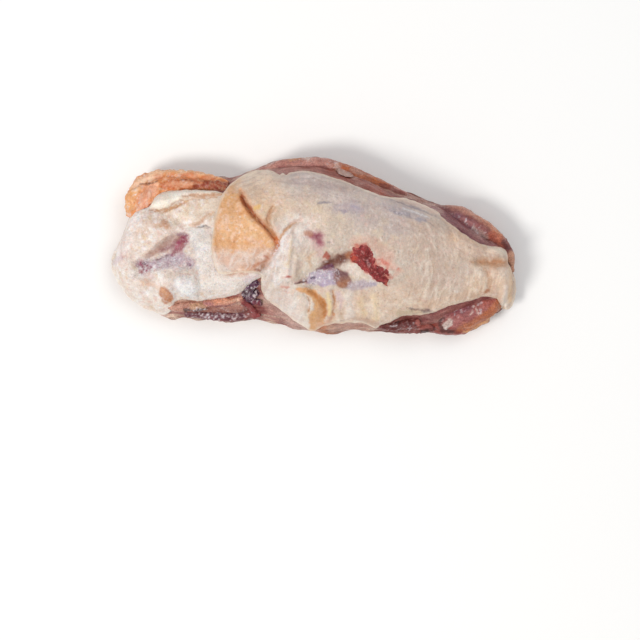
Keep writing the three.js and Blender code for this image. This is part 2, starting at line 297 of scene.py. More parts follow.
def skinZones(x, y):
    # where the skin is smooth, stringy, granular or wrinkled
    folded = inFlap(x, y, 6)
    fromTop = np.interp(x, *np.array(topEdge).T) - y
    lobe = distanceTo(((-9, 1), (-16, -8), (-20, -22), (-10, -34)), x, y)
    hip = distanceTo(((2, 0), (4, -16), (28, -10)), x, y)
    return {
        "flap": folded, "fromTop": fromTop,
        "flapLow": folded * (1 - smooth(y + 2.2 * rough(flat(x, y), 4, 62), -7, -1)),
        "upper": (1 - smooth(fromTop, 8, 21)) * (1 - folded),
        "lobe": (1 - smooth(lobe, 7, 13)) * (1 - folded), "hip": 1 - smooth(hip, 8, 14),
        "low": smooth(-y, 20, 30) * between(x, (2, 10), (52, 68)),
        "tail": smooth(x, 34, 62),
    }


def skinFolds(x, y, zone):
    # fine lines of each zone: arcs round the tail, strings along the flank, wrinkles in the lobe and the flap
    p = flat(x, y)
    arcs = threads(y, x + 0.012 * (y + 12) ** 2 + 0.9 * lumpy(p, 4, 13), 7, 1.7, 5, 4)
    arcs = arcs * (0.25 + 0.75 * smooth(rough(p, 6, 17), -0.3, 0.4))
    strings = threads(x, zone["fromTop"] + 0.5 * lumpy(p, 6, 14), 16, 1.25, 6, 5)
    ripples = threads(y + 0.4 * x, x - 0.5 * y + 1.2 * lumpy(p, 5, 7), 7, 2.6, 8, 2)
    squeezed = threads(y * 0.94 + x * 0.34, x * 0.94 - y * 0.34 + 1.4 * lumpy(p, 3.5, 9), 5, 1.7, 10, 2)
    return arcs, strings, ripples, squeezed


# millimetres of relief that each kind of unevenness gives the skin
fineRelief = {"broad": 0.26, "grain": 0.18, "pebbles": 0.2, "follicles": 0.16, "arcs": 0.42, "strings": -0.34,
              "ripples": 0.45, "squeezed": 0.55, "hip": 0.4, "lobe": 0.26, "low": 0.75}


def skinHeight(x, y):
    body, settle = overMeat(x, y)
    zone = skinZones(x, y)
    arcs, strings, ripples, squeezed = skinFolds(x, y, zone)
    p, size = flat(x, y), fineRelief
    fine = size["broad"] * rough(p, 8, 3) + size["grain"] * lumpy(p, 1.2, 4)
    fine = fine + size["pebbles"] * lumpy(p, 2.3, 15)
    fine = fine + size["follicles"] * follicles(p, 4.2, 0.75, 2) * (1 - zone["lobe"])
    fine = fine + size["arcs"] * zone["tail"] * arcs + size["strings"] * zone["upper"] * strings
    fine = fine + size["ripples"] * zone["lobe"] * ripples + size["squeezed"] * zone["flapLow"] * squeezed
    fine = fine + sum(size[key] * zone[key] for key in ("hip", "lobe", "low")) * rough(p, 2.6, 11)
    body = raised(body, tailLip, x, y) + flapRaise(x, y)
    return body + (fine - creased(x, y)) * (0.3 + 0.7 * settle)


ribFolds = (
    # under the slab
    (((-82.6, 17.6), (-76, 16.8), (-71.4, 18.4), (-67.6, 20.8), (-62, 23), (-54, 24)), 1.2, -1.4),
    (((-66, 8), (-60, 8.8), (-54, 11.6), (-49, 16.6)), 0.8, -0.9),
    (((-59, 9), (-55, 8.8), (-51, 8.8)), 0.7, -1.4),  # crack in the frost
    (((-90, -10), (-87, -10.6), (-83, -7)), 1.2, -1.2),
    (((-69, -28), (-72, -21), (-71, -15), (-65, -11)), 1.4, -1.9),  # round the frozen ball
    (((-58, -15), (-57, -22), (-58, -28)), 1.6, -1.3),
    (((-100, -16), (-90, -19), (-80, -21)), 2.5, 1),
    (((-86, -5.6), (-80.6, -0.4), (-73, 4.4)), 1.5, 2),  # ledge over the hollow
    (((-83, -7.6), (-76, -4.4), (-70, -2)), 1.6, -1),
    (((-70, -1), (-65, 3)), 2.4, -1.1),
    (((-66.4, -19.8), (-64.4, -21.6)), 3.6, 1.5),
    (((-63, -26.4), (-56, -27.8)), 1.3, 1.1),
    (((-75.8, -24.6), (-74.8, -26.4)), 2.2, 1.1),
    (((-100, -3), (-97, 4)), 3.6, 0.9),
    (((-93, 14), (-87, 18)), 3.2, 1),
    (((-99, 7), (-91, 7), (-85, 4)), 1.3, -0.9),
    (((-90, 1), (-87, 3)), 2.4, 0.8),
)


def ribHeight(x, y):
    body, settle = overMeat(x, y)
    p = flat(x, y)
    crust = 0.42 * smooth(-x, 50, 64) + 0.12
    body = raised(body, ribFolds, x, y, settle) + 0.5 * rough(p, 6, 8) * settle
    return body + crust * rough(p, 2.4, 12) + 0.1 * lumpy(p, 1.2, 9)


def carcassHeight(x, y):
    return meatTop(x, y) + (relief(x, y) - creased(x, y)) * settled(x, y, skinForm["bareSettle"]) - 0.2


# ---- colour: named patches of tone laid over each other, kept in the mesh as an attribute
mirrored = 0.026  # light that the white room adds in the wet surface, so the tones are that much darker


def toned(r, g, b):
    c = np.array([r, g, b]) / 255
    return np.maximum(np.where(c <= 0.04045, c / 12.92, ((c + 0.055) / 1.055) ** 2.4) - mirrored, 0.004)


def plainTone(points, colour):
    return np.tile(toned(*colour), (len(points), 1))


def layered(tone, colour, mask):
    return tone * (1 - mask[:, None]) + toned(*colour) * mask[:, None]


def strayed(points, turn):
    # the place each point reads the patches from: a little off its own, so that no edge runs straight
    broad = [rough(points, 3.4, turn + k) for k in (40, 44)]
    near = [lumpy(points, 1.1, turn + k) for k in (48, 52)]
    return points[:, 0] + 0.8 * broad[0] + 0.35 * near[0], points[:, 1] + 0.8 * broad[1] + 0.35 * near[1]


def patchMasks(points, patches, turn, slant=1):
    # each patch: the line it follows, its half width, the softness of its edge, its strength and how ragged
    # its edge is; slant keeps it from running down where the surface is steep
    place, ragged = strayed(points, turn), rough(points, 3.2, turn)
    for path, width, softness, strength, rag in patches:
        reach = distanceTo(path, *place) * slant + rag * ragged
        yield strength * (1 - smooth(reach, width - softness / 2, width + softness / 2))


def painted(points, base, patches, turn=0, slant=1):
    # patches as above, each with its colour in front
    tone = plainTone(points, base) if isinstance(base, tuple) else base
    worn = 1 - 0.3 * np.clip(0.5 + 0.6 * rough(points, 1.6, turn + 5), 0, 1)
    for patch, mask in zip(patches, patchMasks(points, [patch[1:] for patch in patches], turn, slant)):
        tone = layered(tone, patch[0], mask * worn)
    return tone


def spread(points, patches, turn=0):
    # the same for a single mask, the strongest patch first
    return np.max([np.zeros(len(points)), *patchMasks(points, patches, turn)], axis=0)


def grained(tone, points, stains, turn, depth=0.07):
    # stains: a colour, the size of its specks, how much of the area it takes and its strength
    for k, (colour, size, share, strength) in enumerate(stains):
        level = 0.5 + 0.62 * rough(points, size, turn + k)
        mask = strength * smooth(level, 0.95 - share, 1.25 - share)
        tone = layered(tone, colour, mask)
    shade = 0.8 * lumpy(points, 0.9, turn + 9) + 0.9 * rough(points, 2.2, turn + 8)
    return tone * (1 + depth * (shade + 0.6 * rough(points, 7, turn + 7)))[:, None]


def paintedLitRim(tone, points, outline, colour, width, strength=0.75):
    # painted light: a pale band along the sheet's edge that lifts its shaded rim and stands in for the light
    # bounced onto it
    inset = distanceTo(outline, points[:, 0], points[:, 1], closed=True)
    return layered(tone, colour, strength * (1 - smooth(inset, 0.2, width)))


def iced(tone, points, amount, turn, colour=(236, 231, 236)):
    # grains of frost, denser where the amount is higher
    level = amount * 1.7 + 0.75 * lumpy(points, 0.85, turn) + 0.3 * rough(points, 2, turn + 1) - 0.75
    mask = (amount > 0.02) * np.clip(level * 1.6, 0, 0.92)
    return layered(tone, colour, mask)


def keepAttributes(piece, tone, masks):
    mesh = piece.data
    rgba = np.concatenate([tone, np.ones((len(tone), 1))], axis=1)
    mesh.attributes.new("tone", "FLOAT_COLOR", "POINT").data.foreach_set("color", rgba.astype("f").ravel())
    for name, values in masks.items():  # one value for each point, or a single one for all
        mesh.attributes.new(name, "FLOAT", "POINT").data.foreach_set("value", np.full(len(tone), values, "f"))


def valuesOf(elements, name, width, kind=float):
    values = np.empty(len(elements) * width, kind)
    elements.foreach_get(name, values)
    return values.reshape(-1, width)


def pointsOf(piece):
    return valuesOf(piece.data.vertices, "co", 3) * 1000 - (0, plan["shiftY"], 0)


def normalsOf(piece):
    return valuesOf(piece.data.vertices, "normal", 3)


def movePoints(piece, points):
    piece.data.vertices.foreach_set("co", placed(points).ravel())


def slantOf(piece):
    return 1 / np.clip(np.abs(normalsOf(piece)[:, 2]), 0.5, 1) ** 0.5


def meshPiece(name, points, faces):
    mesh = bpy.data.meshes.new(name)
    mesh.from_pydata(placed(points).tolist(), [], faces)
    mesh.update()
    piece = bpy.data.objects.new(name, mesh)
    bpy.context.scene.collection.objects.link(piece)
    mesh.polygons.foreach_set("use_smooth", [True] * len(mesh.polygons))
    return piece


def only(piece):
    bpy.ops.object.select_all(action="DESELECT")
    piece.select_set(True)
    bpy.context.view_layer.objects.active = piece


def facedOutwards(piece):
    only(piece)
    bpy.ops.object.mode_set(mode="EDIT")
    bpy.ops.mesh.select_all(action="SELECT")
    bpy.ops.mesh.remove_doubles(threshold=1e-6)
    bpy.ops.mesh.normals_make_consistent(inside=False)
    bpy.ops.object.mode_set(mode="OBJECT")
    # consistent can still be inside out, so the sign of the volume decides
    piece.data.calc_loop_triangles()
    corners = valuesOf(piece.data.loop_triangles, "vertices", 3, int)
    a, b, c = pointsOf(piece)[corners].transpose(1, 0, 2)
    if np.sum(a * np.cross(b, c)) < 0:
        bpy.ops.object.mode_set(mode="EDIT")
        bpy.ops.mesh.flip_normals()
        bpy.ops.object.mode_set(mode="OBJECT")


# ---- a thin sheet of skin or fat, cut to an outline and laid on what is under it
def ragLine(points, step, wobble, turn):
    # a closed smooth line through the points, at even steps, with a slightly uneven edge
    p = np.array(points, float)
    line = []
    for i in range(len(p)):
        a, b, c, d = p[i - 1], p[i], p[(i + 1) % len(p)], p[(i + 2) % len(p)]
        count = max(2, int(np.hypot(*(c - b)) / step))
        for t in np.arange(count) / count:
            line.append(0.5 * (2 * b + (c - a) * t + (2 * a - 5 * b + 4 * c - d) * t**2
                               + (3 * b - a - 3 * c + d) * t**3))
    line = np.array(line)
    ahead = np.roll(line, -1, axis=0) - np.roll(line, 1, axis=0)
    outwards = np.stack([ahead[:, 1], -ahead[:, 0]], axis=1) / np.hypot(*ahead.T)[:, None]
    area = np.sum(line[:, 0] * np.roll(line[:, 1], -1) - np.roll(line[:, 0], -1) * line[:, 1])
    if area < 0:
        line, outwards = line[::-1], -outwards[::-1]
    bumps = lumpy(flat(*line.T), 2.6, turn) + 0.5 * lumpy(flat(*line.T), 1.1, turn + 1)
    return line + outwards * (wobble * bumps)[:, None], outwards


def triangulated(line, inner):
    points = [Vector(p) for p in np.concatenate([line, inner])]
    edges = [(i, (i + 1) % len(line)) for i in range(len(line))]
    out = delaunay_2d_cdt(points, edges, [], 0, 1e-7, False)
    corners = np.array([tuple(p) for p in out[0]])
    faces = np.array([tuple(f) for f in out[2]])
    kept = insideOf([tuple(p) for p in line], *corners[faces].mean(axis=1).T)  # the hull's own faces go
    return corners, [tuple(f) for f in faces[kept].tolist()]


def clearOf(outline, points, inset):
    # the points that are farther than this from the outline
    return points[distanceTo(outline, *points.T, closed=True) > inset]


def honeycomb(outline, step, inset):
    # evenly spread points inside the outline
    low, high = np.min(outline, axis=0), np.max(outline, axis=0)
    rowStep = step * 0.866  # rows of triangles with even sides
    rows = []
    for i, y in enumerate(np.arange(low[1], high[1], rowStep)):
        x = np.arange(low[0] + (i % 2) * step / 2, high[0], step)
        rows.append(np.stack([x, np.full_like(x, y)], axis=1))
    comb = np.concatenate(rows)
    return clearOf(outline, comb[insideOf(outline, *comb.T)], inset)


def laidSheet(name, sheet, topHeight, floorHeight):
    # rim is the width of the rounded edge; the rings of points that shape it lie closer together outside
    step, rim = sheet["step"], sheet["rim"]
    line, outwards = ragLine(sheet["outline"], step, sheet["wobble"], sheet["turn"])
    outline = [tuple(p) for p in line]
    rings = [clearOf(outline, line - outwards * inset, inset * 0.8)
             for inset in np.array([0.08, 0.22, 0.45, 0.75, 1]) * rim]
    points, faces = triangulated(line, np.concatenate(rings + [honeycomb(outline, step, rim + step * 0.4)]))
    x, y = points.T
    inset = distanceTo(outline, x, y, closed=True)
    floorZ = floorHeight(x, y) + sheet.get("lift", 0.15)
    rise = np.sqrt(1 - (1 - np.clip(inset / rim, 0, 1)) ** 2)
    upper = np.stack([x, y, floorZ + np.maximum(topHeight(x, y) - floorZ, 0.25) * rise], axis=1)
    # the hidden underside has the same edge and far fewer points
    lowPoints, lowFaces = triangulated(line, honeycomb(outline, step * 3, step * 1.5))
    edgeOf = {tuple(np.round(p, 5)): i for i, p in enumerate(points) if inset[i] < 1e-4}
    index, extra = [], []
    for i, p in enumerate(lowPoints):
        shared = edgeOf.get(tuple(np.round(p, 5)))
        if shared is None:
            shared = len(upper) + len(extra)
            extra.append(i)
        index.append(shared)
    lx, ly = lowPoints[extra].T
    lower = np.stack([lx, ly, floorHeight(lx, ly) - 0.5], axis=1)
    faces = faces + [tuple(index[k] for k in reversed(f)) for f in lowFaces]
    piece = meshPiece(name, np.concatenate([upper, lower]), faces)
    facedOutwards(piece)
    # the edge of the sheet stays sharp
    onRim = distanceTo(outline, *pointsOf(piece).T[:2], closed=True) < 0.002
    sharp = onRim[valuesOf(piece.data.edges, "vertices", 2, int)].all(axis=1)
    piece.data.attributes.new("sharp_edge", "BOOLEAN", "EDGE").data.foreach_set("value", sharp)
    return piece


# ---- shader groups
def feed(tree, socket, value):
    if isinstance(value, bpy.types.NodeSocket):
        tree.links.new(value, socket)
    else:
        socket.default_value = value


def add(tree, kind, settings=None, **values):
    # a value's name is its socket's, or i and the socket's number
    node = tree.nodes.new(kind)
    for key, value in (settings or {}).items():
        setattr(node, key, value)
    for key, value in values.items():
        feed(tree, node.inputs[int(key[1:]) if key[1:].isdigit() else key.replace("_", " ")], value)
    return node


def maths(tree, operation, a, b, clamp=False):
    return add(tree, "ShaderNodeMath", {"operation": operation, "use_clamp": clamp}, i0=a, i1=b).outputs[0]


def times(tree, *values):
    product = values[0]
    for value in values[1:]:
        product = maths(tree, "MULTIPLY", product, value)
    return product


def plus(tree, a, b):
    return maths(tree, "ADD", a, b)


def minus(tree, a, b):
    return maths(tree, "SUBTRACT", a, b)


def ranged(tree, value, low, high, outLow=0, outHigh=1):
    return add(tree, "ShaderNodeMapRange", {"interpolation_type": "SMOOTHSTEP"}, Value=value, From_Min=low,
               From_Max=high, To_Min=outLow, To_Max=outHigh).outputs["Result"]


def mixed(tree, factor, a, b, blend="MIX"):
    settings = {"data_type": "RGBA", "blend_type": blend}
    return add(tree, "ShaderNodeMix", settings, i0=factor, i6=a, i7=b).outputs[2]


def stretched(tree, scale):
    coords = add(tree, "ShaderNodeTexCoord").outputs["Object"]
    return add(tree, "ShaderNodeMapping", Vector=coords, Scale=scale).outputs["Vector"]


def objectNoise(tree, scale, detail=3, stretch=(1, 1, 1), roughness=0.55, distortion=0):
    return add(tree, "ShaderNodeTexNoise", Vector=stretched(tree, stretch), Scale=scale, Detail=detail,
               Roughness=roughness, Distortion=distortion).outputs[0]


def cellular(tree, scale):
    # the distance to the middle of a cell, and a random value for each cell
    cells = add(tree, "ShaderNodeTexVoronoi", Vector=stretched(tree, (1, 1, 1)), Scale=scale).outputs
    return cells["Distance"], add(tree, "ShaderNodeSeparateColor", Color=cells["Color"]).outputs[0]


def attribute(tree, name, output="Fac"):
    return add(tree, "ShaderNodeAttribute", {"attribute_name": name}).outputs[output]


def pores(tree, given):
    # small dark pores and the dimples they sit in
    distance, value = cellular(tree, given["Scale"])
    dots = ranged(tree, distance, 0, 0.3, 1, 0)
    chosen = maths(tree, "GREATER_THAN", value, minus(tree, 1, given["Spread"]))
    patchy = ranged(tree, objectNoise(tree, 90, 2), 0.42, 0.62)
    return times(tree, dots, chosen, patchy), minus(tree, 1, dots)


def frost(tree, given):
    # grains of frost: a fine speckle that thickens with the amount
    distance, value = cellular(tree, given["Scale"])
    clumps = objectNoise(tree, 260, 4, roughness=0.7)
    level = plus(tree, times(tree, value, 0.45), times(tree, clumps, 0.55))
    edge = minus(tree, 0.82, times(tree, given["Amount"], 0.62))
    above = maths(tree, "MULTIPLY", minus(tree, level, edge), 9, clamp=True)
    return above, times(tree, above, minus(tree, 1, distance))


def fibre(tree, given):
    # long bundles of muscle along the back
    noise = objectNoise(tree, given["Scale"], 4, (0.22, 1, 1), 0.6, 0.6)
    return ranged(tree, noise, 0.36, 0.66), noise


def shaderGroup(name, build, inputs):
    # a node group with a mask and a height
    tree = bpy.data.node_groups.new(name, "ShaderNodeTree")
    for label in inputs:
        tree.interface.new_socket(name=label, in_out="INPUT", socket_type="NodeSocketFloat")
    for label in ("Mask", "Height"):
        tree.interface.new_socket(name=label, in_out="OUTPUT", socket_type="NodeSocketFloat")
    out = tree.nodes.new("NodeGroupOutput")
    for socket, value in zip(out.inputs, build(tree, tree.nodes.new("NodeGroupInput").outputs)):
        feed(tree, socket, value)
    return tree


groups = {"pore": shaderGroup("skinPores", pores, ("Scale", "Spread")),
          "frost": shaderGroup("frostGrain", frost, ("Scale", "Amount")),
          "fibre": shaderGroup("meatFibre", fibre, ("Scale",))}


def tissue(name, look):
    # one builder for skin, fat and meat; each look says how much of each effect it has
    material = bpy.data.materials.new(name)
    material.use_nodes = True
    tree = material.node_tree
    shader = tree.nodes["Principled BSDF"]

    def tinted(tone, mask, key, blend="MIX"):
        return mixed(tree, mask, tone, (*toned(*look[key + "Colour"]), 1), blend)

    def grouped(tone, heights, key, tint, rise, **values):
        # the group tints the tone and adds to the heights
        node = add(tree, "ShaderNodeGroup", {"node_tree": groups[key]}, Scale=look[key + "Scale"], **values)
        tone = tinted(tone, times(tree, node.outputs["Mask"], *tint), key)
        return tone, plus(tree, heights, times(tree, node.outputs["Height"], *rise))

    mottle = objectNoise(tree, look["mottleScale"], 4)
    fine = objectNoise(tree, look["fineScale"], 3, look["fineStretch"])
    grit = objectNoise(tree, look["gritScale"], 2)
    blotch = ranged(tree, mottle, 0.35, 0.68, 0, look["mottle"])
    tone = tinted(attribute(tree, "tone", "Color"), blotch, "blotch", "MULTIPLY")
    tone = tinted(tone, ranged(tree, fine, 0.4, 0.75, 0, look["fine"]), "fine")
    shade = ranged(tree, grit, 0.36, 0.64, 1 - look["grit"], 1 + look["grit"])
    tone = add(tree, "ShaderNodeHueSaturation", Color=tone, Value=shade).outputs["Color"]
    heights = plus(tree, times(tree, fine, look["fineHeight"]), times(tree, grit, look["gritHeight"]))
    if "fibre" in look:
        tone, heights = grouped(tone, heights, "fibre", (look["fibre"],), (look["fibreHeight"],))
    if "pores" in look:
        amount = attribute(tree, "pores")
        tone, heights = grouped(tone, heights, "pore", (look["pores"], amount), (look["poreHeight"], amount),
                                Spread=look["poreSpread"])
    tone, heights = grouped(tone, heights, "frost", (look["frost"],), (look["frostHeight"],),
                            Amount=attribute(tree, "frost"))
    bump = add(tree, "ShaderNodeBump", Strength=look["bump"], Distance=look["bumpDepth"], Height=heights)
    for label, value in {
        "Base Color": tone, "Normal": bump.outputs["Normal"],
        "Roughness": ranged(tree, mottle, 0.3, 0.7, *look["roughness"]),
        "Subsurface Weight": look["subsurface"], "Subsurface Radius": (1, 0.45, 0.3),
        "Subsurface Scale": 0.0022, "Specular IOR Level": look["specular"],
        "Coat Weight": look["coat"], "Coat Roughness": 0.22,
    }.items():
        feed(tree, shader.inputs[label], value)
    return material


fatLook = {
    "mottleScale": 110, "mottle": 0.6, "blotchColour": (232, 216, 206),
    "fineScale": 800, "fineStretch": (1, 1, 1), "fine": 0.22, "fineColour": (246, 242, 238), "fineHeight": 0.7,
    "gritScale": 1400, "grit": 0.07, "gritHeight": 0.5,
    "pores": 0.35, "poreScale": 420, "poreSpread": 0.3, "poreColour": (186, 150, 140), "poreHeight": 0.3,
    "frostScale": 1500, "frost": 0.3, "frostColour": (242, 240, 242), "frostHeight": 1,
    "bump": 0.75, "bumpDepth": 0.0009, "roughness": (0.5, 0.7),
    "subsurface": 0.12, "specular": 0.32, "coat": 0.03,
}
skinLook = {
    **fatLook, "mottleScale": 70, "mottle": 0.5, "blotchColour": (236, 226, 220),
    "fineScale": 900, "fineStretch": (1, 0.8, 1), "fine": 0.1, "fineColour": (240, 226, 214), "fineHeight": 0.5,
    "gritScale": 1500, "grit": 0.06, "gritHeight": 0.4,
    "pores": 0.45, "poreScale": 330, "poreSpread": 0.42, "poreColour": (150, 112, 96), "poreHeight": 0.25,
    "frostColour": (238, 236, 240), "frostHeight": 0.8,
    "bump": 0.8, "roughness": (0.36, 0.56), "subsurface": 0.1, "specular": 0.36, "coat": 0.06,
}
meatLook = {
    "mottleScale": 120, "mottle": 0.5, "blotchColour": (200, 160, 150),
    "fineScale": 1000, "fineStretch": (0.4, 1, 1), "fine": 0.1, "fineColour": (220, 170, 156), "fineHeight": 0.4,
    "gritScale": 1400, "grit": 0.22, "gritHeight": 0.6,
    "fibre": 0.22, "fibreScale": 420, "fibreColour": (110, 48, 50), "fibreHeight": 0.8,
    "frostScale": 1400, "frost": 0.3, "frostColour": (228, 214, 216), "frostHeight": 0.6,
    "bump": 0.6, "bumpDepth": 0.0007, "roughness": (0.28, 0.48),
    "subsurface": 0.08, "specular": 0.35, "coat": 0.12,
}
print("materials ready")


def finished(piece, material, tone, masks):
    keepAttributes(piece, tone, masks)
    piece.data.materials.clear()
    piece.data.materials.append(material)
    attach(piece, "root")
    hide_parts("chicken_back")
    print(piece.name, len(piece.data.polygons))


skinMaterial = tissue("coldRawSkin", skinLook)
fatMaterial = tissue("frostedFat", fatLook)
meatMaterial = tissue("wetMeat", meatLook)

# ---- fat and skin over the ribs
ribSheet = {
    "outline": ((-104.6, -9), (-103.8, -13.4), (-101.4, -18.6), (-98, -23.8), (-95.2, -27), (-92.4, -29.4),
                (-88.4, -32), (-85, -33.6), (-81, -35.4), (-78, -36.2), (-75.5, -35.4), (-73, -33.2),
                (-70.5, -30), (-68.5, -28.4), (-64, -28.6), (-60, -29), (-55, -28.8), (-50, -28.2), (-45, -27.4),
                (-40, -26.2), (-36, -24.2), (-32, -21), (-28.6, -18.4), (-25.4, -16.4), (-31, -12), (-40, -6),
                (-43, 4), (-43, 14), (-41, 22), (-44, 25.4), (-48, 26), (-54, 27), (-60, 27.4), (-68, 27.6),
                (-74, 27.2), (-77.6, 26.4), (-80.8, 24), (-82.8, 20.6), (-85.2, 18.8), (-88.4, 17.8), (-92, 16.6),
                (-94.8, 13.9), (-96.6, 8.6), (-99.4, 3), (-103, -4)),
    "step": 0.56, "wobble": 0.5, "turn": 31, "rim": 1.8,
}
ribPatches = (
    ((243, 231, 228), ((-102, -8), (-98, 4), (-94, 11), (-88, 14)), 6, 8, 0.95, 1),
    ((226, 204, 188), ((-86, 6), (-80, 11), (-71, 10)), 5, 6, 0.8, 1.4),
    ((233, 219, 202), ((-72, 15), (-62, 16), (-50, 18)), 5.5, 4, 1, 0.8),
    # the tan line under the slab's lower edge, deepened with painted shadow
    ((190, 136, 90), ((-83, 17, 0.4), (-76, 16.6, 0.9), (-71, 18.2, 0.8), (-67.4, 20.6, 0.7), (-62, 22.8, 0.6),
                      (-55, 23.8, 0.6), (-49, 23.6, 0.4)), 0, 1, 1, 0.3),
    ((240, 236, 232), ((-66, 10.4, 1.2), (-62, 7, 1.6), (-57, 2, 5), (-56, -6, 5), (-55, -12, 3.5)), 0, 3, 1, 1),
    ((214, 176, 148), ((-65.3, 9.1, 0.4), (-60, 9.6, 1.1), (-57.6, 11, 1), (-53, 14.2, 0.8),
                       (-50.5, 15.8, 0.6)), 0, 1.6, 0.85, 0.8),
    ((232, 214, 196), ((-62, 13), (-55, 17), (-50, 20)), 2, 2, 0.7, 1),
    # painted shadow in the crack under the fat
    ((104, 90, 96), ((-58.2, 8.6, 0.1), (-55, 8.9, 0.4), (-51.6, 8.5, 0.1)), 0, 0.6, 0.9, 0.3),
    ((208, 160, 128), ((-76.8, 9.4, 1.3), (-75, 10.4, 1.8), (-73.6, 8.4, 1.5)), 0, 1.8, 0.95, 0.9),  # tan spot
    # shoulder hollow, from its pale ledge to its dark end
    ((228, 208, 194), ((-87, -6.8, 0.8), (-81.6, -2.6, 1.8), (-75.6, 2, 2.2), (-69, 5.4, 1.4)), 0, 2.4, 0.95, 0.8),
    ((188, 150, 138), ((-83.6, -6.2, 0.6), (-78, -3, 1.8), (-73, 0, 2.4), (-68.4, 2.4, 2.2)), 0, 3.4, 0.95, 0.8),
    ((164, 120, 126), ((-79, -4.8, 0.3), (-74.6, -2.4, 1.2), (-70, 0, 2)), 0, 3, 0.9, 1),
    ((112, 72, 84), ((-85.8, -10.2, 0.1), (-80.6, -7.4, 0.3), (-75.5, -6.1, 0.3),
                     (-71, -4.6, 0.1)), 0, 0.8, 0.6, 0.5),
    ((196, 172, 188), ((-89, -10.4, 1.6), (-83, -10.4, 2.4), (-76, -9, 3.2), (-68, -8.4, 3.8),
                       (-62.4, -9.6, 2)), 0, 3, 1, 1.6),
    ((168, 84, 108), ((-70.6, -4, 1.4), (-68, -1.4, 2.6), (-65.8, 1.4, 2.2), (-64, 3.6, 1)), 0, 2.2, 0.95, 1.3),
    ((140, 48, 80), ((-68.6, -0.6, 0.8), (-66, 2, 1.4), (-64.4, 3.6, 0.7)), 0, 1.8, 0.85, 1.2),
    ((146, 108, 128), ((-68.4, 5, 0.8), (-66, 5.4, 1), (-64.2, 4, 0.6)), 0, 1.6, 0.75, 1),
    ((144, 46, 80), ((-90, -10.4, 1.1), (-87, -11.8, 2.8), (-84, -13, 1.8)), 0, 2.2, 1, 1.3),
    ((212, 178, 176), ((-86, -15.4, 0.6), (-82, -17, 1.2)), 0, 2.4, 0.6, 1.2),
    ((96, 54, 72), ((-87.4, -10.2, 0.3), (-85.8, -9.8, 0.6), (-84.4, -8.8, 0.2)), 0, 0.7, 0.9, 0.3),
    ((96, 54, 72), ((-80.4, -7.8, 0.2), (-79.4, -7.6, 0.6), (-77, -6.8, 0.2)), 0, 0.6, 0.9, 0.3),
    ((96, 54, 72), ((-76, -6.4, 0.2), (-75, -6.2, 0.5)), 0, 0.6, 0.9, 0.3),
    ((140, 98, 122), ((-65.2, -10.4, 0.6), (-62.4, -11.4, 0.8)), 0, 1.2, 0.85, 1),
    ((186, 116, 70), ((-75.8, -24.4, 2.7), (-74.4, -27.6, 3)), 0, 1.5, 1, 0.6),  # tan knob
    ((208, 148, 104), ((-76, -24.2, 1.4), (-75, -26, 1.2)), 0, 2, 0.8, 0.8),
    ((226, 180, 146), ((-76.4, -23.4), (-75, -24.6)), 0.9, 1.4, 0.7, 0.5),
    ((228, 194, 172), ((-86, -18.4, 0.8), (-81.6, -20.6, 1.4), (-79, -22, 1)), 0, 2, 0.7, 1.2),
    ((214, 146, 100), ((-97.6, -24.6), (-95.8, -27)), 1, 1.2, 0.8, 0.5),
    ((216, 158, 128), ((-92, -30.4), (-84, -33.8)), 1.2, 1.6, 0.7, 0.6),
    ((212, 160, 148), ((-98, -6.6, 0.2), (-96, -6.2, 0.5), (-94, -6.2, 0.2)), 0, 0.7, 0.7, 0.4),
    ((220, 198, 210), ((-103, -9), (-99, -7)), 2, 2.4, 0.7, 0.8),
    ((250, 249, 248), ((-67, -20.4, 4), (-63.4, -22, 4.6)), 0, 2.4, 1, 0.8),  # frozen ball
    # painted shade round the lower left of the frozen ball
    ((224, 214, 214), ((-70.8, -18, 0.4), (-69.6, -23, 0.8), (-66, -26, 0.6)), 0, 1.4, 0.8, 0.6),
    ((246, 248, 250), ((-63, -26.6, 0.7), (-56, -27.8, 0.9)), 0, 0.9, 0.9, 0.4),
    ((238, 228, 221), ((-57, -21), (-48, -21.4), (-38, -19), (-29, -16.8)), 5, 3, 0.9, 0.8),
    ((208, 194, 186), ((-60, -28.4, 0.4), (-50, -27.8, 1.2), (-41, -25.6, 1), (-33, -21, 0.6)), 0, 1.6, 0.8, 0.4),
    ((222, 204, 216), ((-33, -18.4), (-28, -18)), 2.2, 2, 0.7, 1),
    ((206, 158, 134), ((-44, -15.8, 0.3), (-37, -15.6, 0.9), (-29, -14.6, 0.5)), 0, 1.2, 0.75, 0.6),
)
ribFrost = (
    (((-88, -11.4), (-80, -10.4), (-71, -9), (-64, -10)), 4.6, 4, 0.46, 1.4),
    (((-66.5, -20.6), (-63, -22.4)), 6.4, 4, 0.45, 1),
    (((-60, 4), (-57, -6), (-54, -12)), 6, 6, 0.4, 1.4),
    (((-102, -8), (-95, 6), (-88, 17)), 6, 8, 0.3, 1.4),
    (((-84, -22), (-90, -16)), 6, 8, 0.3, 1.4),
    (((-58, -22), (-44, -21), (-32, -18.6)), 4, 5, 0.34, 1.4),
    (((-66, 3), (-70, -3)), 2, 3, 0.2, 1.4),
    (((-71.4, -22), (-71, -27)), 1.2, 2, 0.5, 0.8),
)
ribStains = (
    ((226, 186, 174), 2.4, 0.38, 0.55), ((224, 196, 158), 3.2, 0.34, 0.5), ((248, 245, 244), 2, 0.45, 0.75),
    ((206, 180, 196), 1.8, 0.22, 0.4),
)
ribSpecks = (((176, 120, 152), 1, 0.16, 0.35), ((246, 243, 246), 1, 0.2, 0.4))
ribs = laidSheet("ribFat", ribSheet, ribHeight, carcassHeight)
points = pointsOf(ribs)
frosty = spread(points, ribFrost, 33)
tone = grained(painted(points, (234, 222, 213), ribPatches[:4], 32), points, ribStains, 34)
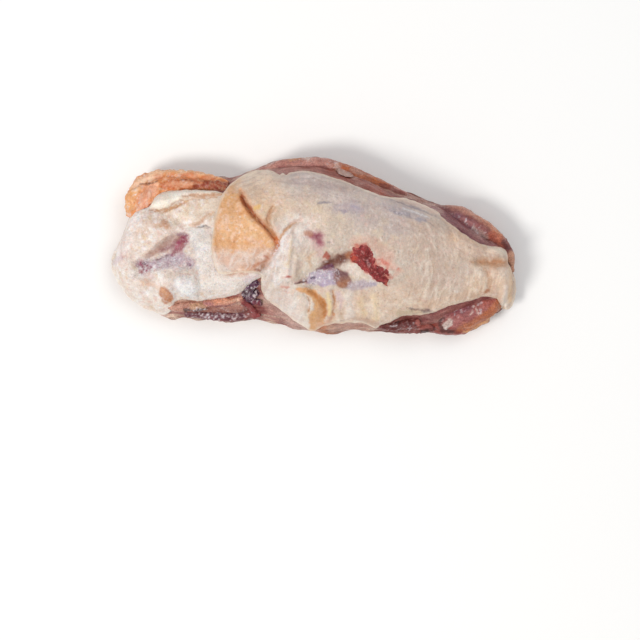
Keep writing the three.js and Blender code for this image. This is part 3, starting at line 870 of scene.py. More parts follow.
tone = grained(painted(points, tone, ribPatches[4:], 32, slantOf(ribs)), points, ribSpecks, 36, 0.04)
# painted light along the rim of the rib fat
tone = paintedLitRim(tone, points, ribSheet["outline"], (248, 238, 228), 1.8)
finished(ribs, fatMaterial, iced(tone, points, frosty, 35), {"frost": frosty, "pores": 0.25})

# ---- the cream slab of fat below the neck skin
slabSheet = {
    "outline": ((-82.8, 18), (-82.2, 20.6), (-79.6, 23.6), (-76.6, 25.8), (-72.9, 27.2), (-67.8, 27.6),
                (-60, 27.6), (-52, 27.2), (-46, 26), (-46, 24.6), (-51.9, 23.4), (-57, 22.9), (-61.5, 22.6),
                (-66.6, 22), (-70.4, 20.7), (-72.6, 18.8), (-74.8, 17.5), (-78.7, 17)),
    "step": 0.45, "wobble": 0.3, "turn": 41, "rim": 1.8, "lift": -0.5,
}


def slabHeight(x, y):
    thick = 1.7 - 0.5 * smooth(x, -66, -50) + 0.35 * lumpy(flat(x, y), 4, 42)
    return ribHeight(x, y) + thick - 0.9 * bell(distanceTo(((-66, 24.6), (-46, 25)), x, y), 0.8)


slab = laidSheet("fatSlab", slabSheet, slabHeight, ribHeight)
points = pointsOf(slab)
slabTone = painted(points, (250, 240, 225), (
    ((238, 228, 220), ((-79, 23), (-72, 26), (-60, 26.6)), 1.2, 2, 0.8, 0.6),
    ((200, 150, 116), ((-66, 24, 0.4), (-57.6, 24.4, 1.4), (-50, 24.6, 1.5), (-46.4, 25, 1.2)), 0, 1.8, 0.95, 0.8),
    # the slab's own tan line at its lower edge, deepened with painted shadow
    ((196, 138, 88), ((-82.4, 17.5, 0.2), (-78.7, 17, 0.5), (-74.8, 17.4, 0.6), (-72.4, 18.6, 0.5),
                      (-70.4, 20.4, 0.5), (-66.6, 21.9, 0.4), (-60, 22.5, 0.2)), 0, 0.8, 0.85, 0.3),
), 43)
finished(slab, fatMaterial, grained(slabTone, points, (((244, 240, 234), 2.4, 0.4, 0.4),), 44, 0.035),
         {"frost": 0.06, "pores": 0.15})

# ---- skin over the pelvis, folded over at the loin and ending in the tail
backSkin = {
    "outline": ((-47.5, -15.2), (-43, -15.6), (-38, -15), (-34, -14.8), (-30, -14.9), (-27.4, -15.4),
                (-26.2, -16.8), (-26.4, -19), (-26.4, -22), (-25.4, -26), (-23.4, -28.6), (-20, -31), (-15, -35),
                (-10, -39), (-5, -42), (-1.5, -44.2), (1, -44.6), (2.6, -43.2), (5, -42.2), (8, -41.4),
                (11, -40.4), (14.5, -40.8), (17.6, -40), (22, -40.2), (25.4, -40.4), (27.6, -41.2),
                (30.4, -42.6), (32.2, -43.4), (34.4, -42), (37, -40.6), (39.6, -40), (43, -38.2),
                (46, -36.6), (52, -36.4), (58, -35.8), (62, -34.8), (66, -33.2), (70, -31.6),
                (75, -30.2), (80, -29), (84, -27.7), (88, -26.8), (91, -27), (93.4, -27.6), (94.4, -27.6),
                (95, -28.8), (95.7, -31), (97.4, -33), (100.4, -33.4), (103, -31), (104.6, -27),
                (104.9, -22), (104.4, -18), (103, -14), (101.6, -11), (100.4, -9), (100.5, -5.4), (99.8, -3),
                (96.5, -1.6), (93, -1.2), (90, -1), (87, -0.4), (84.6, 0.2), (80, 3), (75, 6.4), (70, 10),
                (67, 12.6), (65.2, 14.2), (64.3, 16), (62, 17.6), (58, 19.4), (52, 22), (47, 23.4), (42, 23.4),
                (36, 24), (30, 26), (24, 28.4), (20, 30), (14, 32.2), (10, 33.4), (5, 35.2), (0, 36.5),
                (-5, 37), (-9, 36.8), (-12, 36), (-13.5, 35), (-15.5, 36), (-17, 35), (-19, 36.4),
                (-21, 37.4), (-24, 38), (-28, 38.4), (-31, 37.8), (-34, 36.6), (-37, 35), (-40, 32.6),
                (-43, 29.8), (-45.5, 26), (-47.3, 22), (-49, 16), (-50.2, 10), (-51, 4), (-51.5, -3),
                (-50.6, -9), (-49.5, -12.5)),
    "step": 0.52, "wobble": 0.25, "turn": 51, "rim": 2,
}


def skinTone(points, zone):
    tone = painted(points, (213, 198, 184), (
        ((195, 178, 176), ((-6, 33), (18, 24), (50, 15)), 7, 14, 1, 1.2),  # cool upper flank, with the darker patch below it: partly the skin's own cool tone, partly painted shade where the dome turns away from the light
        ((186, 170, 168), ((24, 12), (44, 6)), 4, 14, 0.9, 1.2),
        ((210, 191, 178), ((52, -8), (70, -14)), 8, 12, 0.7, 1.2),
        ((228, 198, 170), ((-33, 35), (-24, 26), (-20, 20)), 8, 8, 1, 1.2),
        ((255, 230, 202), ((-34, 36), (-26, 33)), 4, 6, 0.95, 1.2),
        ((222, 200, 182), ((-10, 17), (0, 14)), 7, 10, 0.7, 1.2),
        ((226, 202, 182), ((14, -32), (34, -30), (52, -27)), 8, 9, 0.85, 1.2),
        ((236, 205, 176), ((76, 2), (87, -6), (91, -16), (86, -22)), 8, 10, 0.9, 1.2),
        ((240, 210, 182), ((98, -16), (99, -28)), 4, 4, 0.8, 1),
        ((206, 172, 144), ((56, -34), (74, -28), (84, -25)), 3.5, 5, 0.75, 0.8),
        ((238, 230, 224), ((-9, 5), (-18, -6), (-20, -18), (-15, -28), (-4, -36)), 9, 6, 1, 0.8),
        # painted bluish-white highlight along the upper left of the lobe
        ((244, 243, 247), ((-13, 4, 1.5), (-18.6, -6, 2.6), (-20.4, -14, 2), (-19, -20, 1)), 0, 5, 0.75, 1.2),
        ((228, 214, 198), ((-2, -12), (-4, -24), (2, -40)), 6, 6, 0.7, 0.8),
    ), 61)
    flapTone = layered(plainTone(points, (228, 178, 132)), (229, 206, 194), zone["flapLow"])
    tan = 0.6 * smooth(points[:, 1] + 1.5 * rough(points, 5, 64), 14, 24)
    flapTone = layered(flapTone, (222, 170, 120), tan)
    return tone * (1 - zone["flap"][:, None]) + flapTone * zone["flap"][:, None]


skinPatches = (
    ((242, 218, 194), flap["foldLine"], 1.2, 1.8, 0.7, 0.3),  # pale edge of the fold: painted highlight along its rounded lip
    ((236, 226, 219), ((-50.6, -6, 1), (-49, -12, 2), (-42, -15, 1.4)), 0, 3, 0.9, 1),
    ((228, 164, 110), ((-36.5, 26), (-33, 18.6), (-26, 10.4), (-19, 3)), 2.8, 3, 0.6, 0.6),
    # deep orange in the crease under the brow and where it turns down (this patch and the one after the next): the
    # skin's own orange deepened with painted shade
    ((172, 88, 38), ((-36.4, 26, 0.3), (-35.2, 21.8, 1.4), (-33.2, 18.6, 1.1), (-30, 14.2, 0.6),
                     (-26, 10.4, 0.5), (-22.6, 6.8, 0.6), (-20, 4, 0.9)), 0, 0.9, 1, 0.2),
    ((206, 112, 40), ((-20.6, 4.4, 0.6), (-18.6, 1.4, 1.6), (-18.2, -1, 1.5), (-18.6, -3.6, 0.5)), 0, 1.1, 1, 0.3),
    ((200, 152, 112), ((-17, 2, 0.4), (-14, 6, 0.7), (-10.5, 9.6, 0.5), (-7.4, 10.6, 0.2)), 0, 0.8, 0.95, 0.2),
    # painted shadow along the left side of the fold beside the crease
    ((200, 152, 116), ((-20.2, 18.4, 0.2), (-22.4, 14.6, 0.8), (-23.2, 11.6, 1), (-22, 7, 1.2),
                       (-19.4, 3.6, 0.8)), 0, 1.4, 0.9, 0.5),
    ((236, 192, 116), ((-29.4, 17.4, 0.8), (-27, 18, 1.2)), 0, 1.8, 0.9, 0.5),
    ((204, 136, 104), ((-31, -12.6, 0.2), (-27.6, -11.6, 0.9), (-24, -9, 0.4)), 0, 1.2, 0.8, 0.9),
    ((150, 88, 70), ((-28.8, -13.8, 0.2), (-26.6, -14.2, 0.6)), 0, 0.9, 0.85, 0.6),
    ((190, 110, 84), ((-24.6, -6), (-22.4, -8)), 0.5, 0.7, 0.8, 0.6),
    ((208, 158, 132), ((-45, -15, 0.2), (-38, -14.6, 0.4), (-32, -14, 0.7)), 0, 1.2, 0.8, 0.5),
    ((214, 176, 160), ((-19, -4), (-24, -11)), 1.4, 2, 0.5, 0.6),
    # hip: bruise, tan curl, red spot
    ((218, 184, 182), ((-2, 4.8, 1.6), (2, 3, 3.4), (3, -4, 2.4)), 0, 4, 0.8, 1.2),
    ((172, 112, 122), ((-1.6, 4.8, 1), (2.2, 3.2, 2.6), (4, -0.4, 1.6)), 0, 3.6, 1, 1.2),
    ((136, 56, 80), ((0.6, 3.8, 0.8), (2.2, 3.2, 1.9), (3, 1.6, 1)), 0, 3, 0.9, 1),
    ((186, 134, 104), ((-3.4, 5.2), (-0.6, 4.8)), 1.2, 2, 0.8, 0.8),
    ((150, 140, 146), ((7.6, 0.4), (8.6, 0.2)), 0.4, 0.8, 0.7, 0.4),
    ((206, 164, 132), ((1.6, -4.8, 0.4), (-1.6, -6.4, 1), (-2.8, -8.8, 0.8), (-1, -11.8, 0.9)), 0, 1.6, 0.8, 1),
    ((176, 78, 60), ((5.4, -7, 0.7), (6.8, -5.8, 1.6), (8, -6.8, 1.1)), 0, 1.1, 1, 0.8),
    ((222, 178, 162), ((22, 1), (30, 0), (38, -6)), 3, 4, 0.55, 1.6),
    # brown groove that runs up to the clot
    ((164, 128, 116), ((2.6, -13.2, 0.8), (7, -11, 2.2), (12, -8.6, 3), (16.6, -6.8, 2.8),
                       (20, -7, 2.4)), 0, 2.2, 0.85, 1.3),
    ((116, 68, 56), ((5, -12, 0.9), (10, -9.8, 2.1), (15, -7.6, 2.2), (18, -6.8, 1.3)), 0, 2, 1, 1.4),
    ((112, 68, 94), ((2.2, -13.2, 0.4), (6, -12.2, 1.1), (9.6, -11.8, 0.8)), 0, 1.4, 0.9, 0.9),
    ((184, 122, 88), ((17.4, -5.8, 1.2), (20, -6.8, 1.8)), 0, 1.8, 0.85, 1.2),
    ((198, 96, 74), ((20.6, -5.2, 1.2), (20.4, -8.2, 1.4)), 0, 1.6, 0.9, 1.2),
    ((240, 230, 220), ((15.4, -12, 1.4), (20, -12.8, 2.2), (22.4, -15.4, 1.4)), 0, 2, 0.7, 1.2),
    # clot and the red threads beside it
    ((208, 132, 116), ((24, -5, 3.6), (29, -12, 3.6), (36.4, -18, 3.2)), 0, 2.6, 0.8, 1.8),
    ((200, 112, 98), ((24.6, -5.6, 4.4), (27.6, -10, 3.6), (31.4, -14.6, 3.6), (36, -17, 2.8)), 0, 2.6, 0.85, 1.6),
    ((224, 166, 150), ((33, -8, 1.5), (38, -11, 2.2), (43, -14, 1.6)), 0, 3.4, 0.7, 2),
    ((206, 112, 98), ((31, -8.6, 0.3), (34.8, -8.4, 0.5), (37.6, -11, 0.5), (38.4, -14, 0.3)), 0, 0.9, 0.8, 0.9),
    ((208, 116, 102), ((38.4, -14, 0.3), (41, -13.4, 0.5), (43.6, -12.4, 0.3)), 0, 1, 0.75, 0.9),
    # frost with its dark slit, and the brown patch
    ((182, 166, 190), ((-2.8, -19, 1.2), (0.6, -17.8, 3), (5, -17.6, 4), (9, -17.6, 4.2)), 0, 1.4, 1, 0.9),
    ((146, 90, 106), ((3, -13.8, 0.3), (8, -13.2, 0.7), (12, -13.4, 0.4)), 0, 0.9, 0.75, 0.8),
    ((176, 110, 106), ((-8.4, -19.8, 0.8), (-4, -19, 1.3)), 0, 1.8, 0.75, 0.8),
    ((84, 40, 54), ((-9.2, -20.5, 0.2), (-6, -19.6, 0.8), (-3.6, -18.8, 0.6)), 0, 0.8, 1, 0.4),
    ((74, 56, 86), ((-0.8, -17.8, 0.3), (0.4, -16.9, 0.6)), 0, 0.6, 0.95, 0.4),
    ((142, 90, 76), ((13.4, -16.8, 3.2), (15.8, -19, 3.8)), 0, 2.4, 1, 1.1),
    ((122, 86, 92), ((12.4, -15.4, 1.3), (16, -15.8, 1.8)), 0, 1.8, 0.9, 1),
    ((180, 124, 94), ((13.6, -21, 1.2), (17, -20.8, 1.5)), 0, 1.8, 0.8, 0.8),
    ((186, 170, 182), ((20, -22, 2), (25, -20.8, 2.4), (31, -20.4, 1.5)), 0, 2.4, 0.95, 1.3),
    ((162, 154, 176), ((28.6, -20.4, 0.5), (31, -21, 0.9)), 0, 1.4, 0.7, 0.8),
    ((214, 188, 194), ((13, -25, 1.4), (14.4, -29, 1.8), (14, -33, 1)), 0, 2.6, 0.7, 1.3),
    # red marks on the lobe
    ((226, 182, 172), ((-15.4, -17.2), (-11, -17.2)), 1.2, 2, 0.7, 0.8),
    ((182, 80, 72), ((-15, -17, 0.2), (-12.8, -17.4, 0.9), (-11, -17.2, 0.2)), 0, 0.9, 1, 0.5),
    ((208, 132, 118), ((-15.6, -21.8, 0.2), (-13.6, -22.4, 0.6), (-11.2, -21.8, 0.2)), 0, 1.2, 0.85, 0.7),
    ((220, 158, 144), ((-14.6, -24.6), (-12.4, -24.8)), 0.3, 1.2, 0.7, 0.6),
    ((236, 212, 172), ((-10.8, 3, 0.2), (-11.8, -5, 0.6), (-12.4, -12, 0.3)), 0, 1.2, 0.6, 0.5),
    # tendon between the lobe and the yellow fat
    ((218, 160, 104), ((-8.4, -23.2, 0.5), (-4, -24, 1.3), (0.4, -26, 2.2), (3.2, -29.6, 2.9), (3.4, -34, 3.4),
                       (2, -38.4, 3.8), (2, -43, 3.8)), 0, 1.3, 1, 0.6),
    # painted shade along the tendon's right edge
    ((186, 118, 60), ((-2, -24.6, 0.5), (2, -27, 1.3), (5, -30.6, 1.3), (5.8, -34, 0.8),
                      (5.6, -38, 0.4)), 0, 1.8, 0.95, 0.6),
    # painted highlight along the tendon
    ((236, 190, 140), ((1, -29.4, 0.3), (1.6, -33, 0.8), (0.6, -38, 0.5)), 0, 1.4, 0.7, 0.8),
    ((230, 182, 126), ((-1.2, -34.8, 1), (0.8, -36.2, 1.5)), 0, 2.2, 0.8, 0.8),
    ((224, 180, 154), ((3.6, -41, 1.4), (5.4, -42, 1.3)), 0, 2, 0.8, 0.8),
    ((242, 232, 224), ((-2.6, -30.4, 1), (-2, -28.6, 0.8)), 0, 1.2, 0.9, 0.5),
    ((206, 154, 128), ((7.4, -33, 0.8), (8.8, -37, 1.6), (7.6, -41, 1.4)), 0, 2, 0.75, 1.6),
    # painted shadow in the crease between the lobe and the tendon
    ((180, 122, 76), ((-4.2, -25.8, 0.2), (-1.8, -28, 0.4), (-2, -31.6, 0.3),
                      (-3.2, -34.6, 0.4)), 0, 0.6, 0.85, 0.3),
    ((238, 216, 168), ((7, -25.8, 0.9), (8.4, -29, 1.6), (8.6, -33, 1.4), (8.4, -36, 0.9)), 0, 1.8, 0.95, 0.8),
    ((198, 136, 92), ((10.2, -24.2, 0.3), (11, -27, 0.7), (11.4, -31, 0.4),
                      (10.4, -36, 0.3)), 0, 1, 0.95, 0.6),
    ((242, 233, 226), ((18, -27, 2.4), (18.6, -37, 2.6)), 0, 3.4, 0.75, 1.5),
    ((236, 210, 168), ((24.6, -28, 1.2), (25.6, -36, 1.6)), 0, 3, 0.55, 1.5),
    ((238, 214, 174), ((31, -26, 1.4), (32.4, -37, 2)), 0, 3, 0.55, 1.5),
    ((206, 160, 122), ((14, -40.4, 0.8), (18, -41, 1.2), (20, -40.4, 0.6)), 0, 1.6, 0.8, 0.6),
    ((190, 156, 134), ((18, -38.4, 0.6), (25, -38.6, 1.8), (32, -41, 1)), 0, 3, 0.8, 0.8),
    # upper flank
    ((176, 162, 170), ((11, 17.4, 1.6), (18, 18.4, 2.8), (25, 16.6, 1.8)), 0, 3.4, 0.7, 2),
    ((136, 130, 142), ((3, 19.6, 0.3), (5.4, 20.2, 1), (9.6, 20, 0.3)), 0, 1.2, 0.9, 0.8),
    ((144, 132, 152), ((13, 16.6, 0.4), (15.4, 16, 0.9)), 0, 1.4, 0.75, 0.8),
    ((162, 152, 170), ((20, 18.8, 0.3), (23, 17.8, 0.9)), 0, 1.6, 0.6, 0.8),
    ((222, 194, 180), ((34, 25.4), (46, 22.8), (58, 18.6), (63, 15.6)), 1.5, 1.2, 0.85, 0.3),
    ((140, 128, 138), ((38, 22.8, 0.1), (47, 19.8, 0.5), (57, 16.2, 0.4), (63, 13.8, 0.1)), 0, 0.8, 0.85, 0.3),
    ((176, 168, 176), ((34, 20, 1), (46, 16.6, 2), (58, 12.4, 1)), 0, 4, 0.6, 2),
    ((154, 150, 162), ((38, 17, 0.2), (46, 14.4, 1), (56, 11.4, 0.3)), 0, 1.6, 0.75, 1),
    ((230, 228, 230), ((46, 17.4, 0.2), (52, 15.2, 0.6), (59, 12.8, 0.2)), 0, 0.9, 0.75, 0.7),
    ((206, 92, 88), (53.4, 21.2), 0.7, 0.6, 0.9, 0.2),
    # tail
    ((196, 178, 152), ((43.6, -35, 1.6), (50, -35.2, 1.7), (58, -35.4, 1)), 0, 1.2, 0.9, 0.8),
    ((124, 98, 96), ((44, -32.6, 0.1), (50.7, -33.2, 0.4), (59, -34, 0.5), (62, -34.8, 0.2)), 0, 0.7, 0.8, 0.4),
    ((108, 86, 98), ((56.6, -34.6, 0.3), (59, -35, 0.9), (61.4, -35.4, 0.3)), 0, 0.9, 0.8, 0.7),
    ((206, 168, 138), ((66, 12.6, 0.8), (76, 5, 1.4), (88, -1.6, 0.8)), 0, 2, 0.7, 0.8),
    # painted shade in the groove between the two halves of the tail (this and the next patch) and in the valley
    # beside the lower half (the patch after)
    ((206, 160, 124), ((80, -9, 0.5), (86, -9.6, 2), (92, -9.8, 2.4), (99, -10, 2)), 0, 3.6, 0.8, 1),
    ((182, 126, 90), ((84, -9, 0.2), (92, -9.2, 1), (100.4, -9.9, 0.6)), 0, 1.8, 0.75, 0.8),
    ((206, 164, 132), ((87.6, -12.6, 0.8), (89.8, -18, 1.3), (90.4, -23, 0.8)), 0, 3.4, 0.75, 1),
    ((224, 190, 158), ((70, 4.4, 1), (72.4, 2.4, 1.6)), 0, 3.4, 0.7, 1.2),
    ((182, 112, 78), ((87.4, -24.8, 0.7), (89.2, -24, 1.1)), 0, 1.2, 0.95, 0.8),
    ((234, 212, 198), ((86, -26.4, 0.4), (91, -26.2, 1)), 0, 1.2, 0.8, 0.6),
    # painted highlight along the rounded right edge of the lower half of the tail
    ((236, 202, 164), ((101, -12.4, 0.8), (101.6, -20, 1.5), (101, -29, 1)), 0, 2.4, 0.85, 0.4),
    ((232, 202, 170), ((99.6, -3.4, 0.5), (99.9, -8.6, 0.7)), 0, 1.4, 0.85, 0.4),
    # painted highlights on the lower and the upper half of the tail, this patch and the next
    ((246, 234, 224), ((98.6, -22, 1), (98.4, -30.6, 1.8)), 0, 2.4, 0.75, 0.6),
    ((230, 218, 200), ((91, -3, 1), (98, -4.6, 1.4)), 0, 2.4, 0.7, 0.6),
)
skinFrost = (
    (((-2, -19), (4, -17), (9.6, -16.4)), 4, 2, 0.42, 0.8),
    (((19, -22), (32, -19)), 3, 4, 0.32, 1),
    (((-16, -4), (-21, -14), (-21, -22), (-14, -30)), 7, 8, 0.3, 1),
    (((4, -11.5), (14, -8)), 2, 2, 0.2, 1),
    (((40, 15), (60, 12)), 3, 4, 0.2, 1),
)
skinStains = (
    ((228, 190, 180), 2.2, 0.32, 0.38), ((228, 208, 174), 3.4, 0.36, 0.28), ((242, 234, 230), 1.4, 0.3, 0.42),
    ((190, 160, 150), 1.2, 0.14, 0.25),
)


def underSkin(x, y):
    onRibs = 1 - smooth(x, -43, -38)
    onRibs = np.maximum(onRibs, (1 - smooth(y, -13, -11)) * (1 - smooth(x, -30, -25)))
    under = carcassHeight(x, y) + onRibs * (ribHeight(x, y) - carcassHeight(x, y))
    hanging = 12.5 - 0.9 * (x - 99)  # the lip hangs free past the end of the tail
    return under + smooth(x, 96.5, 99.5) * np.maximum(hanging - under, 0)


skin = laidSheet("backSkin", backSkin, skinHeight, underSkin)
points = pointsOf(skin)
zone = skinZones(points[:, 0], points[:, 1])
arcs, strings, ripples, squeezed = skinFolds(points[:, 0], points[:, 1], zone)
tone = grained(skinTone(points, zone), points, skinStains, 56)
lumpsLow = zone["low"] * np.clip(rough(flat(*points[:, :2].T), 2.6, 11), -1, 1)
# painted shade in the grooves and painted highlight on the ridges of the strings, arcs, ripples, squeezed wrinkles
# and low lumps; the flap blotches and the follicle dots are the skin's own colour
for colour, mask in (
    ((180, 163, 162), 0.5 * zone["upper"] * strings), ((236, 222, 208), 0.65 * zone["tail"] * arcs),
    ((218, 206, 198), 0.4 * zone["upper"] * (1 - strings) ** 3),
    ((238, 200, 172), 0.7 * zone["flap"] * smooth(rough(points, 3, 66), 0.15, 0.6)),
    ((212, 150, 98), 0.6 * zone["flap"] * (1 - zone["flapLow"]) * smooth(rough(points, 4, 68), 0.1, 0.6)),
    ((188, 158, 142), 0.4 * zone["tail"] * (1 - arcs) ** 4),
    ((206, 176, 160), 0.5 * zone["lobe"] * (1 - ripples) ** 2),
    ((218, 168, 136), 0.8 * zone["flapLow"] * (1 - squeezed)),
    ((242, 228, 220), 0.5 * zone["flapLow"] * squeezed**2),
    ((244, 234, 220), 0.5 * np.clip(lumpsLow, 0, 1)), ((204, 170, 138), 0.5 * np.clip(-lumpsLow, 0, 1)),
    ((176, 116, 74), 0.5 * zone["flap"] * follicles(points, 4.6, 0.42, 3)),
    ((176, 132, 116), 0.3 * (1 - zone["flap"]) * (1 - zone["lobe"]) * follicles(points, 3.8, 0.45, 5)),
):
    tone = layered(tone, colour, mask)
tone = grained(painted(points, tone, skinPatches, 52, slantOf(skin)), points, (), 58, 0.05)
# painted light along the rim of the skin
tone = paintedLitRim(tone, points, backSkin["outline"], (244, 226, 206), 1.3, 0.6)
frosty = spread(points, skinFrost, 54)
finished(skin, skinMaterial, iced(tone, points, frosty, 57),
         {"frost": frosty, "pores": 1 - 0.8 * np.maximum(zone["lobe"], zone["hip"])})

# ---- meat and bone, with the open body cavity
carcassForm = {
    "slices": 290, "across": 128, "under": 112, "hiddenShare": 0.35, "grain": 0.35, "seamDepth": 0.8,
    "spineRidge": (4, 4.5), "vertebra": 7, "ribFrom": -84, "ribTo": -18, "ribSpacing": 13, "ribHeight": 2.6,
    "ribSweep": 8, "ridgeDepth": 8, "vaultPower": 0.7, "tailLift": (78, 104, 4), "rimRows": 6, "rimStep": 0.3,
}
organs = {  # distance from the spine, width, where it begins and ends, how far it stands out
    "kidney": (8.4, 4.6, (-15, -7), (38, 48), 3.2),
    "lung": (11, 5.5, (-70, -60), (-34, -26), 1.2),
    "wing": (16.5, 1.8, (-10, 4), (40, 58), 1.6),
}


def underside(x, y):
    # height of the hollow under the back, and how much of each organ or bone is at that place
    form = carcassForm
    halfWidth = along(cavityForm, "halfWidth", x)
    across = (y - along(cavityForm, "y", x)) / halfWidth
    side = np.abs(across * halfWidth)
    lift = form["tailLift"][2] * smooth(x, *form["tailLift"][:2])
    inside = (np.abs(across) < 1) & (x > cavityForm["x"][0]) & (x < cavityForm["x"][-1])
    vault = along(cavityForm, "depth", x) * np.clip(1 - across**2, 0, 1) ** form["vaultPower"]
    joint = 0.5 + 0.5 * np.cos(x * 2 * np.pi / form["vertebra"])
    ridge = form["spineRidge"][0] * bell(side, form["spineRidge"][1]) * (0.8 + 0.3 * joint)
    turn = (x + np.abs(across) * form["ribSweep"]) * 2 * np.pi / form["ribSpacing"]
    onRibs = between(x, (form["ribFrom"] - 2, form["ribFrom"] + 2), (form["ribTo"] - 2, form["ribTo"] + 2))
    rib = np.clip(np.cos(turn), 0, 1) ** 2.4 * onRibs
    lobes = 0.72 + 0.28 * np.cos((x + 3 * np.sign(across)) * 2 * np.pi / 17)
    shares = {"kidney": lobes, "lung": 1 - rib, "wing": 1}
    swell, masks = ridge + form["ribHeight"] * rib, {}
    for key, (off, width, start, stop, proud) in organs.items():
        width = width * lobes if key == "kidney" else width
        masks[key] = bell(side - off, width) * between(x, start, stop) * shares[key]
        swell = swell + proud * masks[key]
    hollow = vault - swell * np.minimum(1, vault / form["ridgeDepth"])
    masks.update(lining=inside * np.clip(vault / 6, 0, 1), rib=rib, spine=bell(side, 4.6) * (0.5 + 0.5 * joint),
                 gap=bell(side, 4.2) * (1 - joint) ** 4)
    return np.where(inside, np.maximum(lift, hollow), lift), masks


def evenAcross(xs, low, high, samples=400):
    # places across each slice, closer together where the side is steep and open to view
    fine = np.linspace(0, 1, samples)
    y = low[:, None] + (high - low)[:, None] * fine
    z = meatTop(np.repeat(xs, samples), y.ravel()).reshape(y.shape)
    seen = np.where(np.abs(fine * 2 - 1) > 0.6, 1, carcassForm["hiddenShare"])[1:]
    run = np.cumsum(np.hypot(np.diff(y, axis=1), np.diff(z, axis=1)) * seen, axis=1)
    run = np.concatenate([np.zeros((len(xs), 1)), run], axis=1)
    wanted = np.linspace(0, 1, carcassForm["across"])
    return np.array([np.interp(wanted * r[-1], r, fine) for r in run])


def buildCarcass():
    form = carcassForm
    even = np.linspace(-1, 1, form["slices"] + 1)[1:-1]
    xs = (0.75 * even + 0.25 * np.sin(even * np.pi / 2) + 1) / 2 * (plan["end"] - plan["start"]) + plan["start"]
    low, high, nearEnd = meatEdges(xs)
    topY = low[:, None] + (high - low)[:, None] * evenAcross(xs, low, high)
    topX = np.repeat(xs, form["across"]).reshape(topY.shape)
    topZ = carcassHeight(topX.ravel(), topY.ravel()).reshape(topY.shape)
    rimLow = flanks["rimZ"] + flanks["rimWave"] * nearEnd * wave(xs, 7)
    rimHigh = flanks["rimZ"] + flanks["rimWave"] * nearEnd * wave(xs, 9)
    for j in range(1, form["rimRows"] + 1):  # the side meets the rim without a fold
        clear = form["rimStep"] * j - 4 * (1 - nearEnd)
        topZ[:, j] = np.maximum(topZ[:, j], rimLow + clear)
        topZ[:, -1 - j] = np.maximum(topZ[:, -1 - j], rimHigh + clear)
    topZ[:, 0], topZ[:, -1] = rimLow, rimHigh
    u = np.linspace(0, 1, form["under"] + 2)[1:-1]
    u = 0.6 * u + 0.4 * (0.5 - 0.5 * np.cos(np.pi * u))
    underY = high[:, None] + (low - high)[:, None] * u
    underX = np.repeat(xs, len(u)).reshape(underY.shape)
    inward = settled(underX, underY, flanks["footRound"])
    rim = np.where(underY > along(cavityForm, "y", xs)[:, None], rimHigh[:, None], rimLow[:, None])
    hollow, masks = underside(underX.ravel(), underY.ravel())
    underZ = rim * (1 - np.sqrt(1 - (1 - inward) ** 2)) + hollow.reshape(underX.shape)
    ringX, ringY, ringZ = (np.concatenate(pair, axis=1) for pair in
                           ((topX, underX), (topY, underY), (topZ, underZ)))
    count = ringX.shape[1]
    tips = [(plan["start"], -10, flanks["rimZ"]), (plan["end"], -18, flanks["rimZ"])]
    points = np.concatenate([np.stack([ringX.ravel(), ringY.ravel(), ringZ.ravel()], axis=1), tips])
    s, i = np.meshgrid(np.arange(len(xs) - 1) * count, np.arange(count), indexing="ij")
    j = (i + 1) % count
    faces = np.stack([s + i, s + count + i, s + count + j, s + j], axis=-1).reshape(-1, 4).tolist()
    last = (len(xs) - 1) * count
    for i in range(count):
        j = (i + 1) % count
        faces += [(len(points) - 2, i, j), (len(points) - 1, last + j, last + i)]
    piece = meshPiece("meatAndBone", points, faces)
    facedOutwards(piece)
    assert len(piece.data.vertices) == len(points)
    masks["top"] = np.zeros(underX.size)
    for key in masks:  # from the underside to the whole ring, and to both ends
        outside = float(key == "top")
        whole = np.concatenate([np.full(topX.shape, outside), masks[key].reshape(underX.shape)], axis=1)
        masks[key] = np.concatenate([whole.ravel(), [outside, outside]])
    return piece, points, masks.pop("top") > 0, masks


carcassPatches = (
    ((184, 130, 120), ((-26, 38), (-5, 42), (10, 40)), 6, 4, 1, 0.6),  # flank, pink
    ((150, 72, 56), ((10, 35), (24, 31), (40, 26)), 4.6, 3, 1, 0.6),
    ((134, 72, 62), ((40, 28), (52, 24), (64, 20)), 4, 3, 0.9, 0.6),
    ((142, 100, 110), ((64, 14), (74, 9), (88, 1)), 6, 4, 1, 0.8),
    ((112, 70, 88), ((66, 12.6, 0.8), (73, 8, 1.6), (80, 4, 1)), 0, 2, 0.8, 1),
    ((204, 178, 172), ((80, 7, 1), (86, 3.4, 1.8), (90, 1, 1)), 0, 2.4, 0.7, 1.4),
    ((176, 126, 110), ((-60, -32), (-35, -31)), 4, 3, 1, 1),
    ((196, 152, 126), ((-72, -31), (-58, -31)), 3, 2, 1, 1),
    ((108, 66, 70), ((-62, -37), (-30, -38)), 3.5, 3, 1, 1),
    ((132, 62, 62), ((-34, -28), (-28, -34)), 3.5, 3, 1, 1.2),
    ((222, 196, 184), ((-24, -29), (-12, -38), (-2, -45)), 3, 4, 0.9, 0.8),
    ((206, 150, 100), ((2, -44), (8, -44)), 3, 3, 0.8, 0.6),
    ((206, 176, 156), ((10, -43), (30, -44)), 3, 3, 0.9, 0.8),
    ((98, 56, 54), ((36, -43), (48, -41), (58, -41)), 4.5, 3, 1, 1),
    ((136, 84, 84), ((60, -38), (76, -35), (90, -30)), 7, 4, 1, 1),
    ((240, 226, 220), ((-108, -10), (-102, 4), (-97, 14)), 6, 4, 1, 0.6),
    ((236, 216, 204), ((-106, -18), (-96, -31), (-80, -38)), 5, 3, 1, 0.6),
    ((208, 146, 104), ((-94, 20), (-80, 34), (-50, 34)), 4, 4, 0.85, 1.2),
)
seams = (  # fat lines along the sides: height over the table, how far it waves, its length of wave, phase
    (9.4, 1.4, 61, 0.6), (14.6, 2.2, 83, 2.4), (20.4, 2, 70, 4.1),
)
